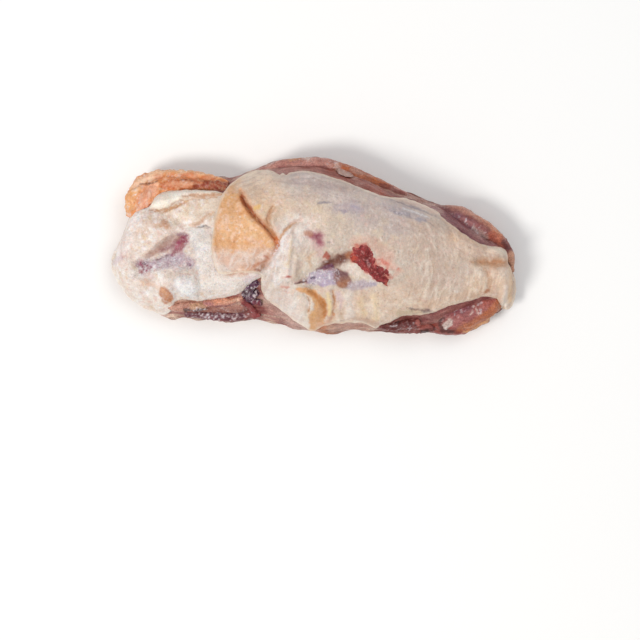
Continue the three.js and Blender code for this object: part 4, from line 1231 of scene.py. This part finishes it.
marrow = {"places": (-73, -60, -47, -34, -21), "z": 5.6, "reach": (3.3, 2.1)}


def covered(x, y):
    # how far a place is inside the edge of the skin or the rib fat, below 0 outside
    inset = np.full(np.shape(x), -1e9)
    for sheet in (ribSheet, backSkin):
        side = np.where(insideOf(sheet["outline"], x, y), 1, -1)
        inset = np.maximum(inset, side * distanceTo(sheet["outline"], x, y, closed=True))
    return inset


carcass, base, onTop, inner = buildCarcass()
cx, cy, cz = base.T
normals = normalsOf(carcass)
onWall = inner["lining"] < 0.05
wall = smooth(np.clip(np.hypot(*normals.T[:2]), 0, 1), 0.45, 0.75) * onWall * smooth(cx, -100, -90)
seam = np.zeros_like(cx)
for height, swing, length, phase in seams:
    off = cz - height - swing * np.sin(cx * 2 * np.pi / length + phase + np.sign(cy) * 1.3)
    seam = np.maximum(seam, bell(off + 0.5 * lumpy(base, 4, 24), 0.75))
broken = smooth(rough(base, 14, 25), -0.5, 0.1) * smooth(inwards(cx, cy), -0.5, 0.4)
seam = seam * wall * (1 - smooth(cx, 48, 56) * smooth(cz, 15, 18)) * broken
strand = threads(cx + 0.5 * cz, cz - 0.12 * cx + 0.6 * lumpy(base, 6, 26), 9, 1.5, 27, 2)
cut = np.zeros_like(cx)
for place in marrow["places"]:
    reach = np.hypot((cx - place) / marrow["reach"][0], (cz - marrow["z"]) / marrow["reach"][1])
    cut = np.maximum(cut, bell(reach, 1))
cut = cut * wall * (np.abs(cy) > 18)
height = carcassForm["grain"] * rough(base * (0.6, 1, 1), 3.5, 20) * np.clip(inwards(cx, cy) / 3, 0.3, 1)
height = height + wall * (0.4 * (strand - 0.5) + 0.9 * rough(base, 11, 28) - carcassForm["seamDepth"] * seam)
height = height + 0.7 * cut - 0.7 * inner["gap"] + 0.3 * inner["kidney"] * rough(base, 2, 29)
# under the skin and the fat it is even and tucked in
inset = np.where(onTop, covered(cx, cy), -9)
tuck = 0.2 + 0.4 * smooth(normals[:, 2], 0.1, 0.5)
height = height * (1 - smooth(inset, -2.5, 0.4)) - tuck * smooth(inset, 0.2, 1.6)
moved = base + normals * height[:, None]
moved[:, 2] = np.maximum(moved[:, 2], 0)
movePoints(carcass, moved)

topTone = painted(base, (170, 112, 104), carcassPatches, 21)
under = painted(base, (200, 156, 140), (
    ((158, 100, 92), ((-80, 0), (60, -10)), 30, 10, 0.7, 3),
    ((230, 210, 190), ((-92, -26), (-20, -34), (40, -40)), 5, 5, 0.85, 3),
    ((230, 210, 190), ((-84, 28), (0, 38), (60, 18)), 5, 5, 0.85, 3),
    ((236, 208, 152), ((58, -16), (76, -18), (92, -16)), 9, 8, 0.85, 3),
    ((226, 190, 160), ((84, -16), (100, -17)), 7, 6, 0.8, 2),
), 22)
for colour, mask in (
    ((158, 84, 76), inner["lining"]),
    ((206, 150, 132), inner["lining"] * 0.6 * smooth(rough(base, 9, 30), -0.1, 0.5)),
    ((200, 92, 84), inner["lining"] * 0.85 * np.clip(inner["lung"] * 1.4, 0, 1)),
    ((96, 30, 30), 0.95 * np.clip(inner["kidney"] * 1.7 - 0.35, 0, 1)),
    ((228, 204, 182), inner["lining"] * 0.9 * smooth(inner["rib"], 0.25, 0.6)),
    ((222, 192, 170), inner["lining"] * 0.85 * np.clip(inner["spine"], 0, 1)),
    ((150, 70, 62), inner["lining"] * 0.8 * inner["gap"]),
    ((224, 200, 178), inner["lining"] * 0.8 * inner["wing"]),
    ((236, 222, 206), inner["lining"] * 0.5 * smooth(rough(base * (0.4, 1, 1), 3, 31), 0.35, 0.7)),
):
    under = layered(under, colour, mask)
carcassTone = np.where(onTop[:, None], topTone, under)
for colour, mask in (
    ((196, 146, 134), wall * 0.35 * strand), ((112, 54, 54), wall * 0.4 * (1 - strand) ** 2),
    ((206, 172, 160), wall * 0.5 * smooth(rough(base, 7, 32), 0.2, 0.6)),
    ((230, 208, 188), 0.8 * seam), ((228, 206, 186), 0.9 * smooth(cut, 0.16, 0.5)),
    ((128, 46, 44), 0.85 * smooth(cut, 0.5, 0.85)),
    ((226, 202, 184), 0.75 * (1 - smooth(cz, 1.5, 4.2)) * onWall * smooth(rough(base, 9, 33), -0.5, 0)),
):
    carcassTone = layered(carcassTone, colour, mask)
frosty = spread(base, ((((-60, -34), (-34, -34)), 5, 5, 0.3, 1),), 23) * onTop
carcassTone = grained(carcassTone, base, (((120, 58, 60), 2, 0.2, 0.3),), 34, 0.09)
finished(carcass, meatMaterial, carcassTone, {"frost": frosty})


# ---- soft rolls of neck skin, meat and frozen blood: bevelled curves, fused and made uneven
def bevelled(name, strand):
    curve = bpy.data.curves.new(name, "CURVE")
    curve.dimensions = "3D"
    curve.bevel_depth, curve.bevel_resolution, curve.use_fill_caps = 0.001, 5, True
    spline = curve.splines.new("NURBS")
    spline.points.add(len(strand) - 1)
    for point, (x, y, z, radius) in zip(spline.points, strand):
        point.co = (*placed([(x, y, z)])[0], 1)
        point.radius = radius
    spline.use_endpoint_u, spline.order_u, spline.resolution_u = True, 3, 8
    piece = bpy.data.objects.new(name, curve)
    bpy.context.scene.collection.objects.link(piece)
    only(piece)
    bpy.ops.object.convert(target="MESH")
    return bpy.context.view_layer.objects.active


def softRoll(name, roll):
    # each roll has its own turn, so that no two have the same pattern
    strands, turn = roll["strands"], roll["turn"]
    if roll.get("onMeat"):  # heights are given over the meat below
        strands = [[(x, y, float(carcassHeight(np.array([x]), np.array([y]))[0]) + rise, radius)
                    for x, y, rise, radius in strand] for strand in strands]
    strands = [bevelled(name, strand) for strand in strands]
    only(strands[0])
    for piece in strands[1:]:
        piece.select_set(True)
    if len(strands) > 1:
        bpy.ops.object.join()
    piece = bpy.context.view_layer.objects.active
    piece.name = piece.data.name = name
    for kind, settings in (("REMESH", {"mode": "VOXEL", "voxel_size": roll["voxel"] / 1000}),
                           ("SMOOTH", {"factor": 0.6, "iterations": roll["smooth"]})):
        modifier = piece.modifiers.new("shape", kind)
        for key, value in settings.items():
            setattr(modifier, key, value)
        bpy.ops.object.modifier_apply(modifier=modifier.name)
    points = pointsOf(piece)
    height = sum(depth * rough(points * stretch, size, bump) for depth, size, stretch, bump in roll["bumps"])
    points = points + normalsOf(piece) * height[:, None]
    points[:, 2] = np.maximum(points[:, 2], 0.05)
    movePoints(piece, points)
    only(piece)
    bpy.ops.object.shade_smooth()
    tone = grained(plainTone(points, roll["tone"]), points, roll["stains"], turn + 1, 0.12)
    tone = painted(points, tone, roll["patches"], turn, slantOf(piece))
    amount = spread(points, roll["frost"], turn + 2)
    finished(piece, roll.get("material", meatMaterial), iced(tone, points, amount, turn + 3),
             {"frost": amount * 0.5, "pores": roll.get("pores", 0)})


neckRoll = {
    "strands": (
        ((-94, 25, 12, 2), (-91, 29.4, 13.5, 3.6), (-85, 34, 15, 3.6), (-76, 35.4, 16, 3), (-66, 35.4, 16.5, 2.9),
         (-56, 34.2, 17, 2.8), (-49, 32, 18, 2.8), (-43.6, 30, 18, 2.2)),
        ((-90, 27, 13, 3), (-85, 29.2, 16, 4.2), (-76, 30.2, 18, 4.2), (-66, 30.4, 18.6, 4),
         (-56, 30, 19, 4), (-49, 28.8, 19.6, 4), (-43.6, 27.6, 20, 3.4)),
        ((-86, 12, 14, 2), (-90, 15.4, 13.5, 5), (-91.6, 21, 13, 6), (-88.6, 27, 13.5, 6), (-82, 30, 15, 4)),
        ((-82, 17, 18, 2), (-85, 20, 18, 4.6), (-83.6, 25, 18, 5), (-79, 28.6, 17.6, 4.4)),
        ((-93, 15, 16, 2), (-88.6, 18, 17.4, 3.6), (-84, 20, 18.6, 3.6)),
    ),
    "voxel": 0.62, "smooth": 3,
    "bumps": ((0.9, 4.2, (0.7, 1, 1), 71), (0.5, 1.5, (1, 1, 1), 72), (0.5, 2.2, (1.3, 0.5, 1), 74)),
    "turn": 73, "tone": (226, 150, 96), "pores": 0.9,
    "material": tissue("neckSkinOrange", {
        **skinLook, "mottleScale": 260, "mottle": 0.6, "blotchColour": (232, 196, 176), "fine": 0.3,
        "fineColour": (246, 214, 176), "fineScale": 620, "fineStretch": (1, 1, 1), "fineHeight": 0.9,
        "pores": 0.5, "poreColour": (150, 76, 40), "bump": 0.8, "bumpDepth": 0.0008, "roughness": (0.3, 0.5),
        "coat": 0.2}),
    "patches": (
        ((240, 186, 128), ((-95, 18), (-94.4, 24), (-91.6, 28)), 3, 3, 0.9, 1.2),
        ((244, 214, 190), ((-91, 30), (-86, 34), (-80, 35.6)), 2.6, 3, 0.9, 1.4),
        ((234, 174, 148), ((-87.4, 18), (-86, 24), (-82, 28.4)), 3.4, 3, 0.9, 1.2),
        ((238, 206, 190), ((-84.6, 20, 0.5), (-84, 27, 0.8)), 0, 1.2, 0.7, 0.9),
        ((238, 206, 190), ((-88.4, 19, 0.4), (-87.6, 25, 0.7)), 0, 1.2, 0.7, 0.9),
        ((240, 196, 160), ((-84, 36.8), (-74, 37.8), (-62, 37.6), (-52, 35.8)), 1.6, 1.8, 0.85, 0.8),
        ((216, 134, 94), ((-80, 34), (-66, 34.6), (-52, 33.6)), 1.6, 2, 0.7, 1.2),
        ((150, 74, 42), ((-72, 32.8, 0.2), (-62, 32.6, 0.7), (-50, 31.6, 1), (-45, 30.4, 0.6)), 0, 1, 0.9, 0.5),
        ((196, 106, 64), ((-76, 30), (-60, 30), (-50, 29.4)), 2.6, 2.6, 0.85, 1),
        ((236, 186, 156), ((-77, 30.6, 0.6), (-66, 30.8, 1), (-58, 30.6, 0.4)), 0, 1.6, 0.55, 1.4),
        # deep brown towards the right end of the neck: its own red-brown deepened with painted shadow
        ((144, 60, 18), ((-60, 29.6, 1), (-52, 30, 2.2), (-44, 28.6, 3)), 0, 2.4, 0.95, 1.2),
        ((104, 58, 30), ((-88.4, 30.8), (-84, 31.2), (-80.4, 31.8)), 0.42, 0.5, 0.9, 0.2),
    ),
    "stains": (((250, 226, 204), 1.2, 0.4, 0.55), ((190, 98, 54), 1.4, 0.3, 0.5),
               ((240, 164, 108), 2.6, 0.34, 0.4)),
    "frost": ((((-93, 17), (-92, 26), (-85, 34)), 5, 5, 0.3, 1.5), (((-78, 35), (-66, 35)), 4, 5, 0.24, 1.5)),
}
softRoll("neckSkin", neckRoll)

meatStains = (((104, 44, 52), 2.2, 0.34, 0.5), ((196, 150, 146), 1.4, 0.24, 0.4), ((150, 72, 56), 3.2, 0.34, 0.4))
upperTail = {
    "strands": (
        ((56, 17, 12, 2), (64, 16, 13.5, 5), (72, 14.4, 14.6, 6.4), (80, 10.6, 14.8, 6.8), (90, 4.4, 13, 6.2),
         (98, -2, 11, 5), (102, -8, 9, 2.4)),
        ((97, -1, 9, 3), (101.4, -5, 9.4, 2.3), (102.9, -10, 8.8, 1.8), (102.8, -14.6, 7.6, 1.1)),
    ),
    "voxel": 0.65, "smooth": 5,
    "bumps": ((0.8, 5, (0.5, 1, 1), 81), (0.3, 1.8, (0.5, 1, 1), 82)),
    "turn": 83, "tone": (146, 92, 88), "stains": meatStains,
    "patches": (
        ((132, 92, 106), ((64, 15), (74, 11), (84, 6)), 5, 3, 0.9, 1),
        ((106, 62, 82), ((66, 12.6, 1), (73, 9.6, 2), (80, 6, 1)), 0, 2.4, 0.8, 1.2),
        ((158, 112, 108), ((66, 19), (76, 17)), 2, 2.4, 0.7, 1),
        ((214, 162, 142), ((66, 21.4, 1), (74, 20.6, 2.2), (82, 17, 2.6), (90, 11, 2.8),
                           (97, 4, 2.4)), 0, 3, 1, 1),
        ((206, 136, 100), ((84, 15, 0.5), (91, 10, 1.1), (97, 4, 1.3)), 0, 2.4, 0.8, 1),
        ((176, 116, 112), ((76, 12, 1), (84, 9.6, 1.8), (90, 5, 1.6)), 0, 2.6, 0.8, 1.2),
        ((196, 172, 164), ((82, 8), (85, 6), (88.6, 4)), 1.4, 1.6, 0.85, 1.4),
        ((190, 104, 76), ((92, 5), (97, 0.6)), 2.4, 2.4, 0.8, 0.9),
        ((100, 30, 26), ((98, 0.6), (99.8, -1.6)), 1.5, 1.2, 0.95, 0.6),
        ((232, 184, 154), ((102.6, -5.6), (103.4, -15)), 2.4, 2, 0.9, 0.6),
        ((190, 160, 150), ((63, 20), (71, 21)), 1, 1.4, 0.6, 0.6),
    ),
    "frost": ((((66, 14), (86, 6)), 4, 5, 0.3, 1.6),),
}
softRoll("meatAboveTail", upperTail)

lowerTail = {
    "strands": (
        ((53, -36, 7, 3), (60, -37, 9, 6), (68, -37, 10.4, 7.4), (77, -36.4, 11.4, 7.6), (87, -33, 12, 7.2),
         (95, -28, 11, 5), (98, -26, 10, 2)),
        ((58, -40.5, 6.5, 3), (65, -42, 7.4, 5), (73, -41.6, 8, 5.4), (82, -39.4, 9, 5), (90, -36, 9.6, 4)),
    ),
    "voxel": 0.65, "smooth": 5,
    "bumps": ((0.9, 5, (0.6, 1, 1), 91), (0.35, 1.8, (0.6, 1, 1), 92)),
    "turn": 93, "tone": (166, 106, 104), "stains": meatStains,
    "patches": (
        ((128, 76, 88), ((62, -35), (72, -32.6), (82, -31)), 3.4, 3, 0.85, 1),
        ((140, 66, 54), ((60, -41), (66, -44), (74, -45)), 3, 3, 0.85, 1.2),
        ((66, 24, 26), ((64.6, -39), (66, -43.6), (72, -45)), 1.1, 1.2, 0.9, 0.8),
        ((66, 24, 26), ((58, -37), (62, -38.6), (67, -37.6)), 1, 1.2, 0.85, 0.8),
        ((176, 98, 84), ((84, -32.6), (90, -29.6), (95, -27.6)), 2.6, 3, 0.7, 1.2),
        ((192, 120, 82), ((76, -43.4, 1.6), (85, -39.6, 2.4), (92, -34.6, 2.8), (96.6, -30, 2.2)), 0, 2.8, 1, 1.2),
        ((214, 144, 92), ((80, -43.6, 0.6), (87, -40.6, 1.2), (93, -36.4, 1)), 0, 2.4, 0.7, 0.8),
        ((228, 178, 122), ((78, -45), (85, -42.8), (91.6, -38)), 0.8, 1, 0.85, 0.4),
        ((226, 216, 208), ((68.2, -41.4), (70.6, -39.8)), 1.8, 0.7, 0.95, 0.6),
        ((232, 208, 198), ((82, -27.4, 0.2), (82.2, -31, 0.6), (81.6, -33.6, 0.3),
                           (80.4, -36, 0.6)), 0, 0.6, 0.9, 0.6),
        ((232, 208, 198), ((82.2, -31.6, 0.4), (83.6, -34, 0.2), (85, -36, 0.5)), 0, 0.6, 0.9, 0.6),
    ),
    "frost": ((((62, -36), (74, -33), (86, -31)), 5, 6, 0.36, 1.6),),
}
softRoll("meatBelowTail", lowerTail)

flankRoll = {
    "strands": (
        ((-30, 37, 12, 1.5), (-21, 38.4, 16, 3.6), (-12, 39.4, 18, 4.6), (-2, 39.8, 19, 5.2), (8, 39, 19, 5.2),
         (18, 36, 18.6, 4.6), (28, 32, 17.6, 4), (38, 28.4, 16.6, 3.4), (48, 25, 15, 2)),
    ),
    "voxel": 0.6, "smooth": 5,
    "bumps": ((0.6, 5, (0.4, 1, 1), 101), (0.3, 1.6, (0.4, 1, 1), 102)),
    "turn": 103, "tone": (196, 144, 132),
    "frost": ((((-10, 41), (10, 40)), 4, 4, 0.2, 1),),
    "patches": (
        ((164, 108, 104), ((-16, 38), (0, 38.6), (10, 37)), 2, 2.4, 0.8, 1),
        ((188, 106, 60), ((14, 39), (24, 35), (36, 30)), 3.8, 3, 1, 1),
        ((150, 80, 72), ((4, 35.8), (14, 33.8), (28, 30)), 1.4, 2, 0.85, 0.8),
        ((210, 152, 96), ((-12, 44), (-7, 44.8)), 1.6, 1.6, 0.9, 0.6),
        ((206, 184, 176), ((12, 41), (13.6, 35.6)), 1.2, 1.4, 0.85, 1.2),
        ((200, 166, 152), ((20, 38.4), (30, 34.4)), 0.8, 1.2, 0.8, 0.8),
        ((132, 66, 60), ((36, 29.6), (46, 26)), 2, 2, 0.8, 0.8),
    ),
    "stains": (((150, 92, 96), 2.4, 0.36, 0.45), ((214, 176, 164), 1.6, 0.3, 0.45)),
}
softRoll("flankMeat", flankRoll)

# ---- torn meat under the edge of the rib fat, and beside the vent
ribFlesh = {
    "onMeat": True,
    "strands": (
        ((-75, -31.6, 0, 1.2), (-70, -32.2, 0.6, 2.7), (-65, -31.8, 0.8, 3), (-61, -31, 0.4, 2)),
        ((-62, -31.6, 0.4, 2), (-58.5, -32.2, 1, 2.9), (-55, -31.6, 0.6, 2)),
        ((-56, -30, 0.4, 2), (-48, -29.6, 0.6, 2.3), (-40, -28.6, 0.6, 2.1), (-35, -27.2, 0.4, 1.6)),
        ((-66, -35.6, 0, 1.4), (-56, -36.2, 0.6, 2.4), (-48, -36.8, 0.8, 2.6), (-40, -36.8, 0.8, 2.6),
         (-33, -36.4, 0.4, 2.2), (-27, -36, 0.2, 1.4)),
        ((-36, -29, 0.4, 1.8), (-32, -31.6, 0.6, 2.1), (-30, -35, 0.4, 2), (-28.6, -37.6, 0.2, 1.4)),
    ),
    "voxel": 0.55, "smooth": 3,
    "bumps": ((0.8, 3, (0.6, 1, 1), 141), (0.5, 1.4, (1, 1, 1), 142)),
    "turn": 143, "tone": (150, 96, 94), "stains": meatStains,
    "patches": (
        ((212, 166, 146), ((-74, -32), (-68, -32.4), (-63, -31.6)), 3, 1.6, 1, 0.6),
        ((214, 176, 144), ((-60.4, -32), (-56.4, -32)), 2.6, 1.4, 0.95, 0.6),
        ((204, 150, 130), ((-54, -30), (-46, -29.6), (-37, -28)), 2.6, 1.8, 1, 0.8),
        ((214, 148, 118), ((-49, -29.6), (-42, -28.8)), 1.4, 1.4, 0.9, 0.8),
        ((168, 110, 116), ((-56, -29.6, 0.6), (-53, -30.4, 1.4), (-51, -31, 0.8)), 0, 1.6, 0.85, 1),
        ((226, 190, 164), ((-46, -30.2, 0.3), (-38, -28.8, 0.5)), 0, 1, 0.7, 0.8),
        ((112, 72, 84), ((-64, -36), (-50, -37), (-38, -37)), 3, 2, 1, 1),
        ((58, 30, 36), ((-66, -33.8), (-58, -34.4), (-50, -33.2), (-42, -33.8), (-36, -33)), 0.9, 1, 0.9, 0.8),
        ((146, 66, 68), ((-34.6, -30), (-31.6, -32), (-29.6, -36)), 2.2, 1.6, 0.95, 1),
    ),
    "frost": ((((-62, -35), (-48, -36), (-36, -35)), 4, 4, 0.42, 1.2),),
}
softRoll("ribFlesh", ribFlesh)

frozenBlood = {
    "onMeat": True,
    "strands": (
        ((-35.6, -26, 0.6, 1.2), (-33.6, -24, 1.6, 2), (-31, -21.6, 2.2, 2), (-28, -19.6, 2, 1.6)),
        ((-34, -28.4, 0.8, 1.8), (-31, -26, 1.6, 2.3), (-28, -24.6, 1.6, 1.8)),
        ((-31.6, -29.4, 0.8, 1.6), (-28.6, -28.4, 1, 1.8), (-27, -31, 0.6, 1.2)),
    ),
    "voxel": 0.45, "smooth": 1,
    "bumps": ((0.8, 1.7, (1, 1, 1), 151), (0.3, 0.9, (1, 1, 1), 152)),
    "turn": 153, "tone": (82, 48, 78),
    "patches": (((130, 56, 66), ((-30, -30), (-27, -31)), 2, 2, 0.9, 1),
                ((60, 30, 44), ((-35, -25), (-31, -23)), 1, 1.4, 0.8, 1)),
    "stains": (((160, 130, 160), 1.2, 0.34, 0.6), ((46, 24, 40), 1.4, 0.34, 0.7)),
    "frost": ((((-34, -26), (-30, -22), (-28, -28)), 4, 3, 0.42, 1),),
}
softRoll("frozenBlood", frozenBlood)

ventFlesh = {
    "onMeat": True,
    "strands": (
        ((34, -42, 0, 1.4), (41, -42, 0.4, 2.6), (48, -40.6, 0.8, 3), (55, -39.4, 0.6, 2.4)),
        ((43, -44, 0, 1.6), (50, -43.8, 0.4, 2), (56, -42.8, 1, 2.8), (62, -42.6, 0.6, 2)),
    ),
    "voxel": 0.55, "smooth": 3,
    "bumps": ((0.8, 3, (0.8, 1, 1), 161), (0.4, 1.4, (1, 1, 1), 162)),
    "turn": 163, "tone": (128, 78, 74), "stains": meatStains,
    "frost": ((((38, -42), (50, -42)), 3, 3, 0.3, 1),),
    "patches": (
        ((88, 48, 50), ((36, -42), (44, -41.6), (52, -40)), 2.4, 2, 0.9, 1),
        ((60, 30, 32), ((37, -40.4), (44, -39.6)), 1, 1.2, 0.9, 0.8),
        ((184, 112, 104), ((55, -40), (59, -42)), 2.4, 1.8, 0.9, 1),
        ((52, 22, 22), ((56.4, -44.6), (59.4, -44.8)), 1.2, 1, 0.95, 0.6),
    ),
}
softRoll("ventFlesh", ventFlesh)

# ---- blood clot on the hip
clotSheet = {
    "outline": ((19, -5.8), (20.5, -2.8), (23.8, -0.9), (27.6, -1.7), (30.3, -4.6), (30.2, -7), (31.6, -8.6),
                (32.6, -10.6), (34.6, -11.6), (37.3, -12.6), (38.4, -15.6), (38.2, -19), (38.6, -22.4),
                (35.6, -21), (32.1, -19.4), (29.7, -17.2), (26.6, -15.2), (24, -13.4), (22.4, -11.4),
                (20, -10), (18.5, -8)),
    "step": 0.32, "wobble": 0.9, "turn": 111, "rim": 1.4, "lift": -0.4,
}


def clotHeight(x, y):
    p = flat(x, y)
    return skinHeight(x, y) + 0.25 + 0.36 * rough(p, 1.3, 112) + 0.3 * lumpy(p, 3, 115)


clot = laidSheet("bloodClot", clotSheet, clotHeight, skinHeight)
points = pointsOf(clot)
clotTone = painted(points, (166, 70, 72), (
    ((126, 40, 48), ((23, -4.6, 1.2), (26.4, -6, 2.2), (28, -10, 1.6)), 0, 2, 0.9, 1.4),
    ((124, 40, 46), ((29, -12.4, 1), (32.6, -15.4, 2), (36, -17, 1.4)), 0, 2, 0.9, 1.4),
    # paler red along the edge: the clot's own lighter edge, with painted light that lifts its shaded rim
    ((196, 106, 96), clotSheet["outline"], 0.2, 1, 0.7, 0.6),
    ((198, 92, 72), ((19.4, -6.4, 1.3), (20.8, -8.8, 1.6)), 0, 2, 0.9, 1),
    ((214, 116, 92), ((36.4, -19.4, 0.6), (37, -21.4, 1)), 0, 1.4, 0.85, 0.6),
    # painted pinkish highlight
    ((226, 178, 180), ((27.6, -9.6), (28.4, -11)), 0.5, 0.8, 0.8, 0.8),
), 113)
# dark specks of the clot's own, and pale specks that are painted glints
clotStainsAndGlints = (((96, 26, 38), 1.5, 0.36, 0.7), ((226, 160, 156), 1, 0.26, 0.75))
finished(clot, tissue("bloodJelly", {**meatLook, "roughness": (0.45, 0.6), "coat": 0.02}),
         grained(clotTone, points, clotStainsAndGlints, 114, 0.2), {"frost": 0})

# ---- membranes left on the meat
membranes = {  # how far each rises over the meat, and its outline
    "flankMembrane": (0.7, ((-5.5, 44.2), (-5.4, 41.6), (0, 40.8), (6, 41), (9.6, 42), (8, 44), (2, 44.4))),
    "sideMembrane": (0.5, ((12.4, 38.4), (12.8, 36), (15.4, 34.6), (19.4, 33.8), (21, 35), (18.6, 36.6),
                           (15, 38.4))),
}


def flankTop(x, y):
    # the meat, or the top of the flank roll taken as a plain tube
    middle, rise, reach = 18.6, 4.6, 5
    off = distanceTo(tuple((p[0], p[1]) for p in flankRoll["strands"][0]), x, y)
    return np.maximum(meatTop(x, y), middle + rise * np.sqrt(np.clip(1 - (off / reach) ** 2, 0, 1)))


for i, (name, (rise, outline)) in enumerate(membranes.items()):
    sheet = {"outline": outline, "step": 0.5, "wobble": 0.3, "turn": 120 + i, "rim": 0.5}

    def filmHeight(x, y):
        return flankTop(x, y) + rise + 0.3 * lumpy(flat(x, y), 2.5, 130)

    film = laidSheet(name, sheet, filmHeight, flankTop)
    points = pointsOf(film)
    filmTone = painted(points, (206, 176, 166), (((180, 136, 128), outline, 0.9, 1.8, 0.8, 1),), 131)
    finished(film, fatMaterial, filmTone, {"frost": 0.15, "pores": 0})
print("pieces built")

# ---- floor, light and camera
bpy.ops.mesh.primitive_plane_add(size=4, location=(0, 0, -0.0003))
floor = bpy.context.active_object
floor.name = "floor"
floorMaterial = bpy.data.materials.new("paleFloor")
floorMaterial.use_nodes = True
floorShader = floorMaterial.node_tree.nodes["Principled BSDF"]
floorShader.inputs["Base Color"].default_value = (0.95, 0.95, 0.945, 1)
floorShader.inputs["Roughness"].default_value = 0.8
floor.data.materials.append(floorMaterial)

lamps = {
    "keyLight": {"place": (-0.85, -0.5, 1.3), "size": 0.5, "power": 14, "colour": (1, 0.97, 0.93)},
    "fillLight": {"place": (0.7, 0.6, 1.4), "size": 1.2, "power": 6, "colour": (0.95, 0.97, 1)},
}
for name, lamp in lamps.items():
    bpy.ops.object.light_add(type="AREA", location=lamp["place"])
    light = bpy.context.active_object
    light.name = name
    light.data.shape, light.data.size = "DISK", lamp["size"]
    light.data.energy, light.data.color = lamp["power"], lamp["colour"]
    light.rotation_euler = (Vector((0, 0, 0.02)) - Vector(lamp["place"])).to_track_quat("-Z", "Y").to_euler()
world = bpy.data.worlds.new("studio")
world.use_nodes = True
world.node_tree.nodes["Background"].inputs["Color"].default_value = (1, 1, 1, 1)
world.node_tree.nodes["Background"].inputs["Strength"].default_value = 0.52
bpy.context.scene.world = world
bpy.context.scene.view_settings.view_transform = "Standard"

view = {"centreX": 3.57, "centreY": -38.8, "planeZ": 25, "distance": 1300, "width": 326.4}
place = (view["centreX"], view["centreY"], view["planeZ"] + view["distance"])
bpy.ops.object.camera_add(location=placed([place])[0])
camera = bpy.context.active_object
camera.rotation_euler = (0, 0, 0)
camera.data.sensor_width = 36
camera.data.lens = camera.data.sensor_width * view["distance"] / view["width"]
camera.data.clip_end = 20
bpy.context.scene.camera = camera
print("stage and camera set")
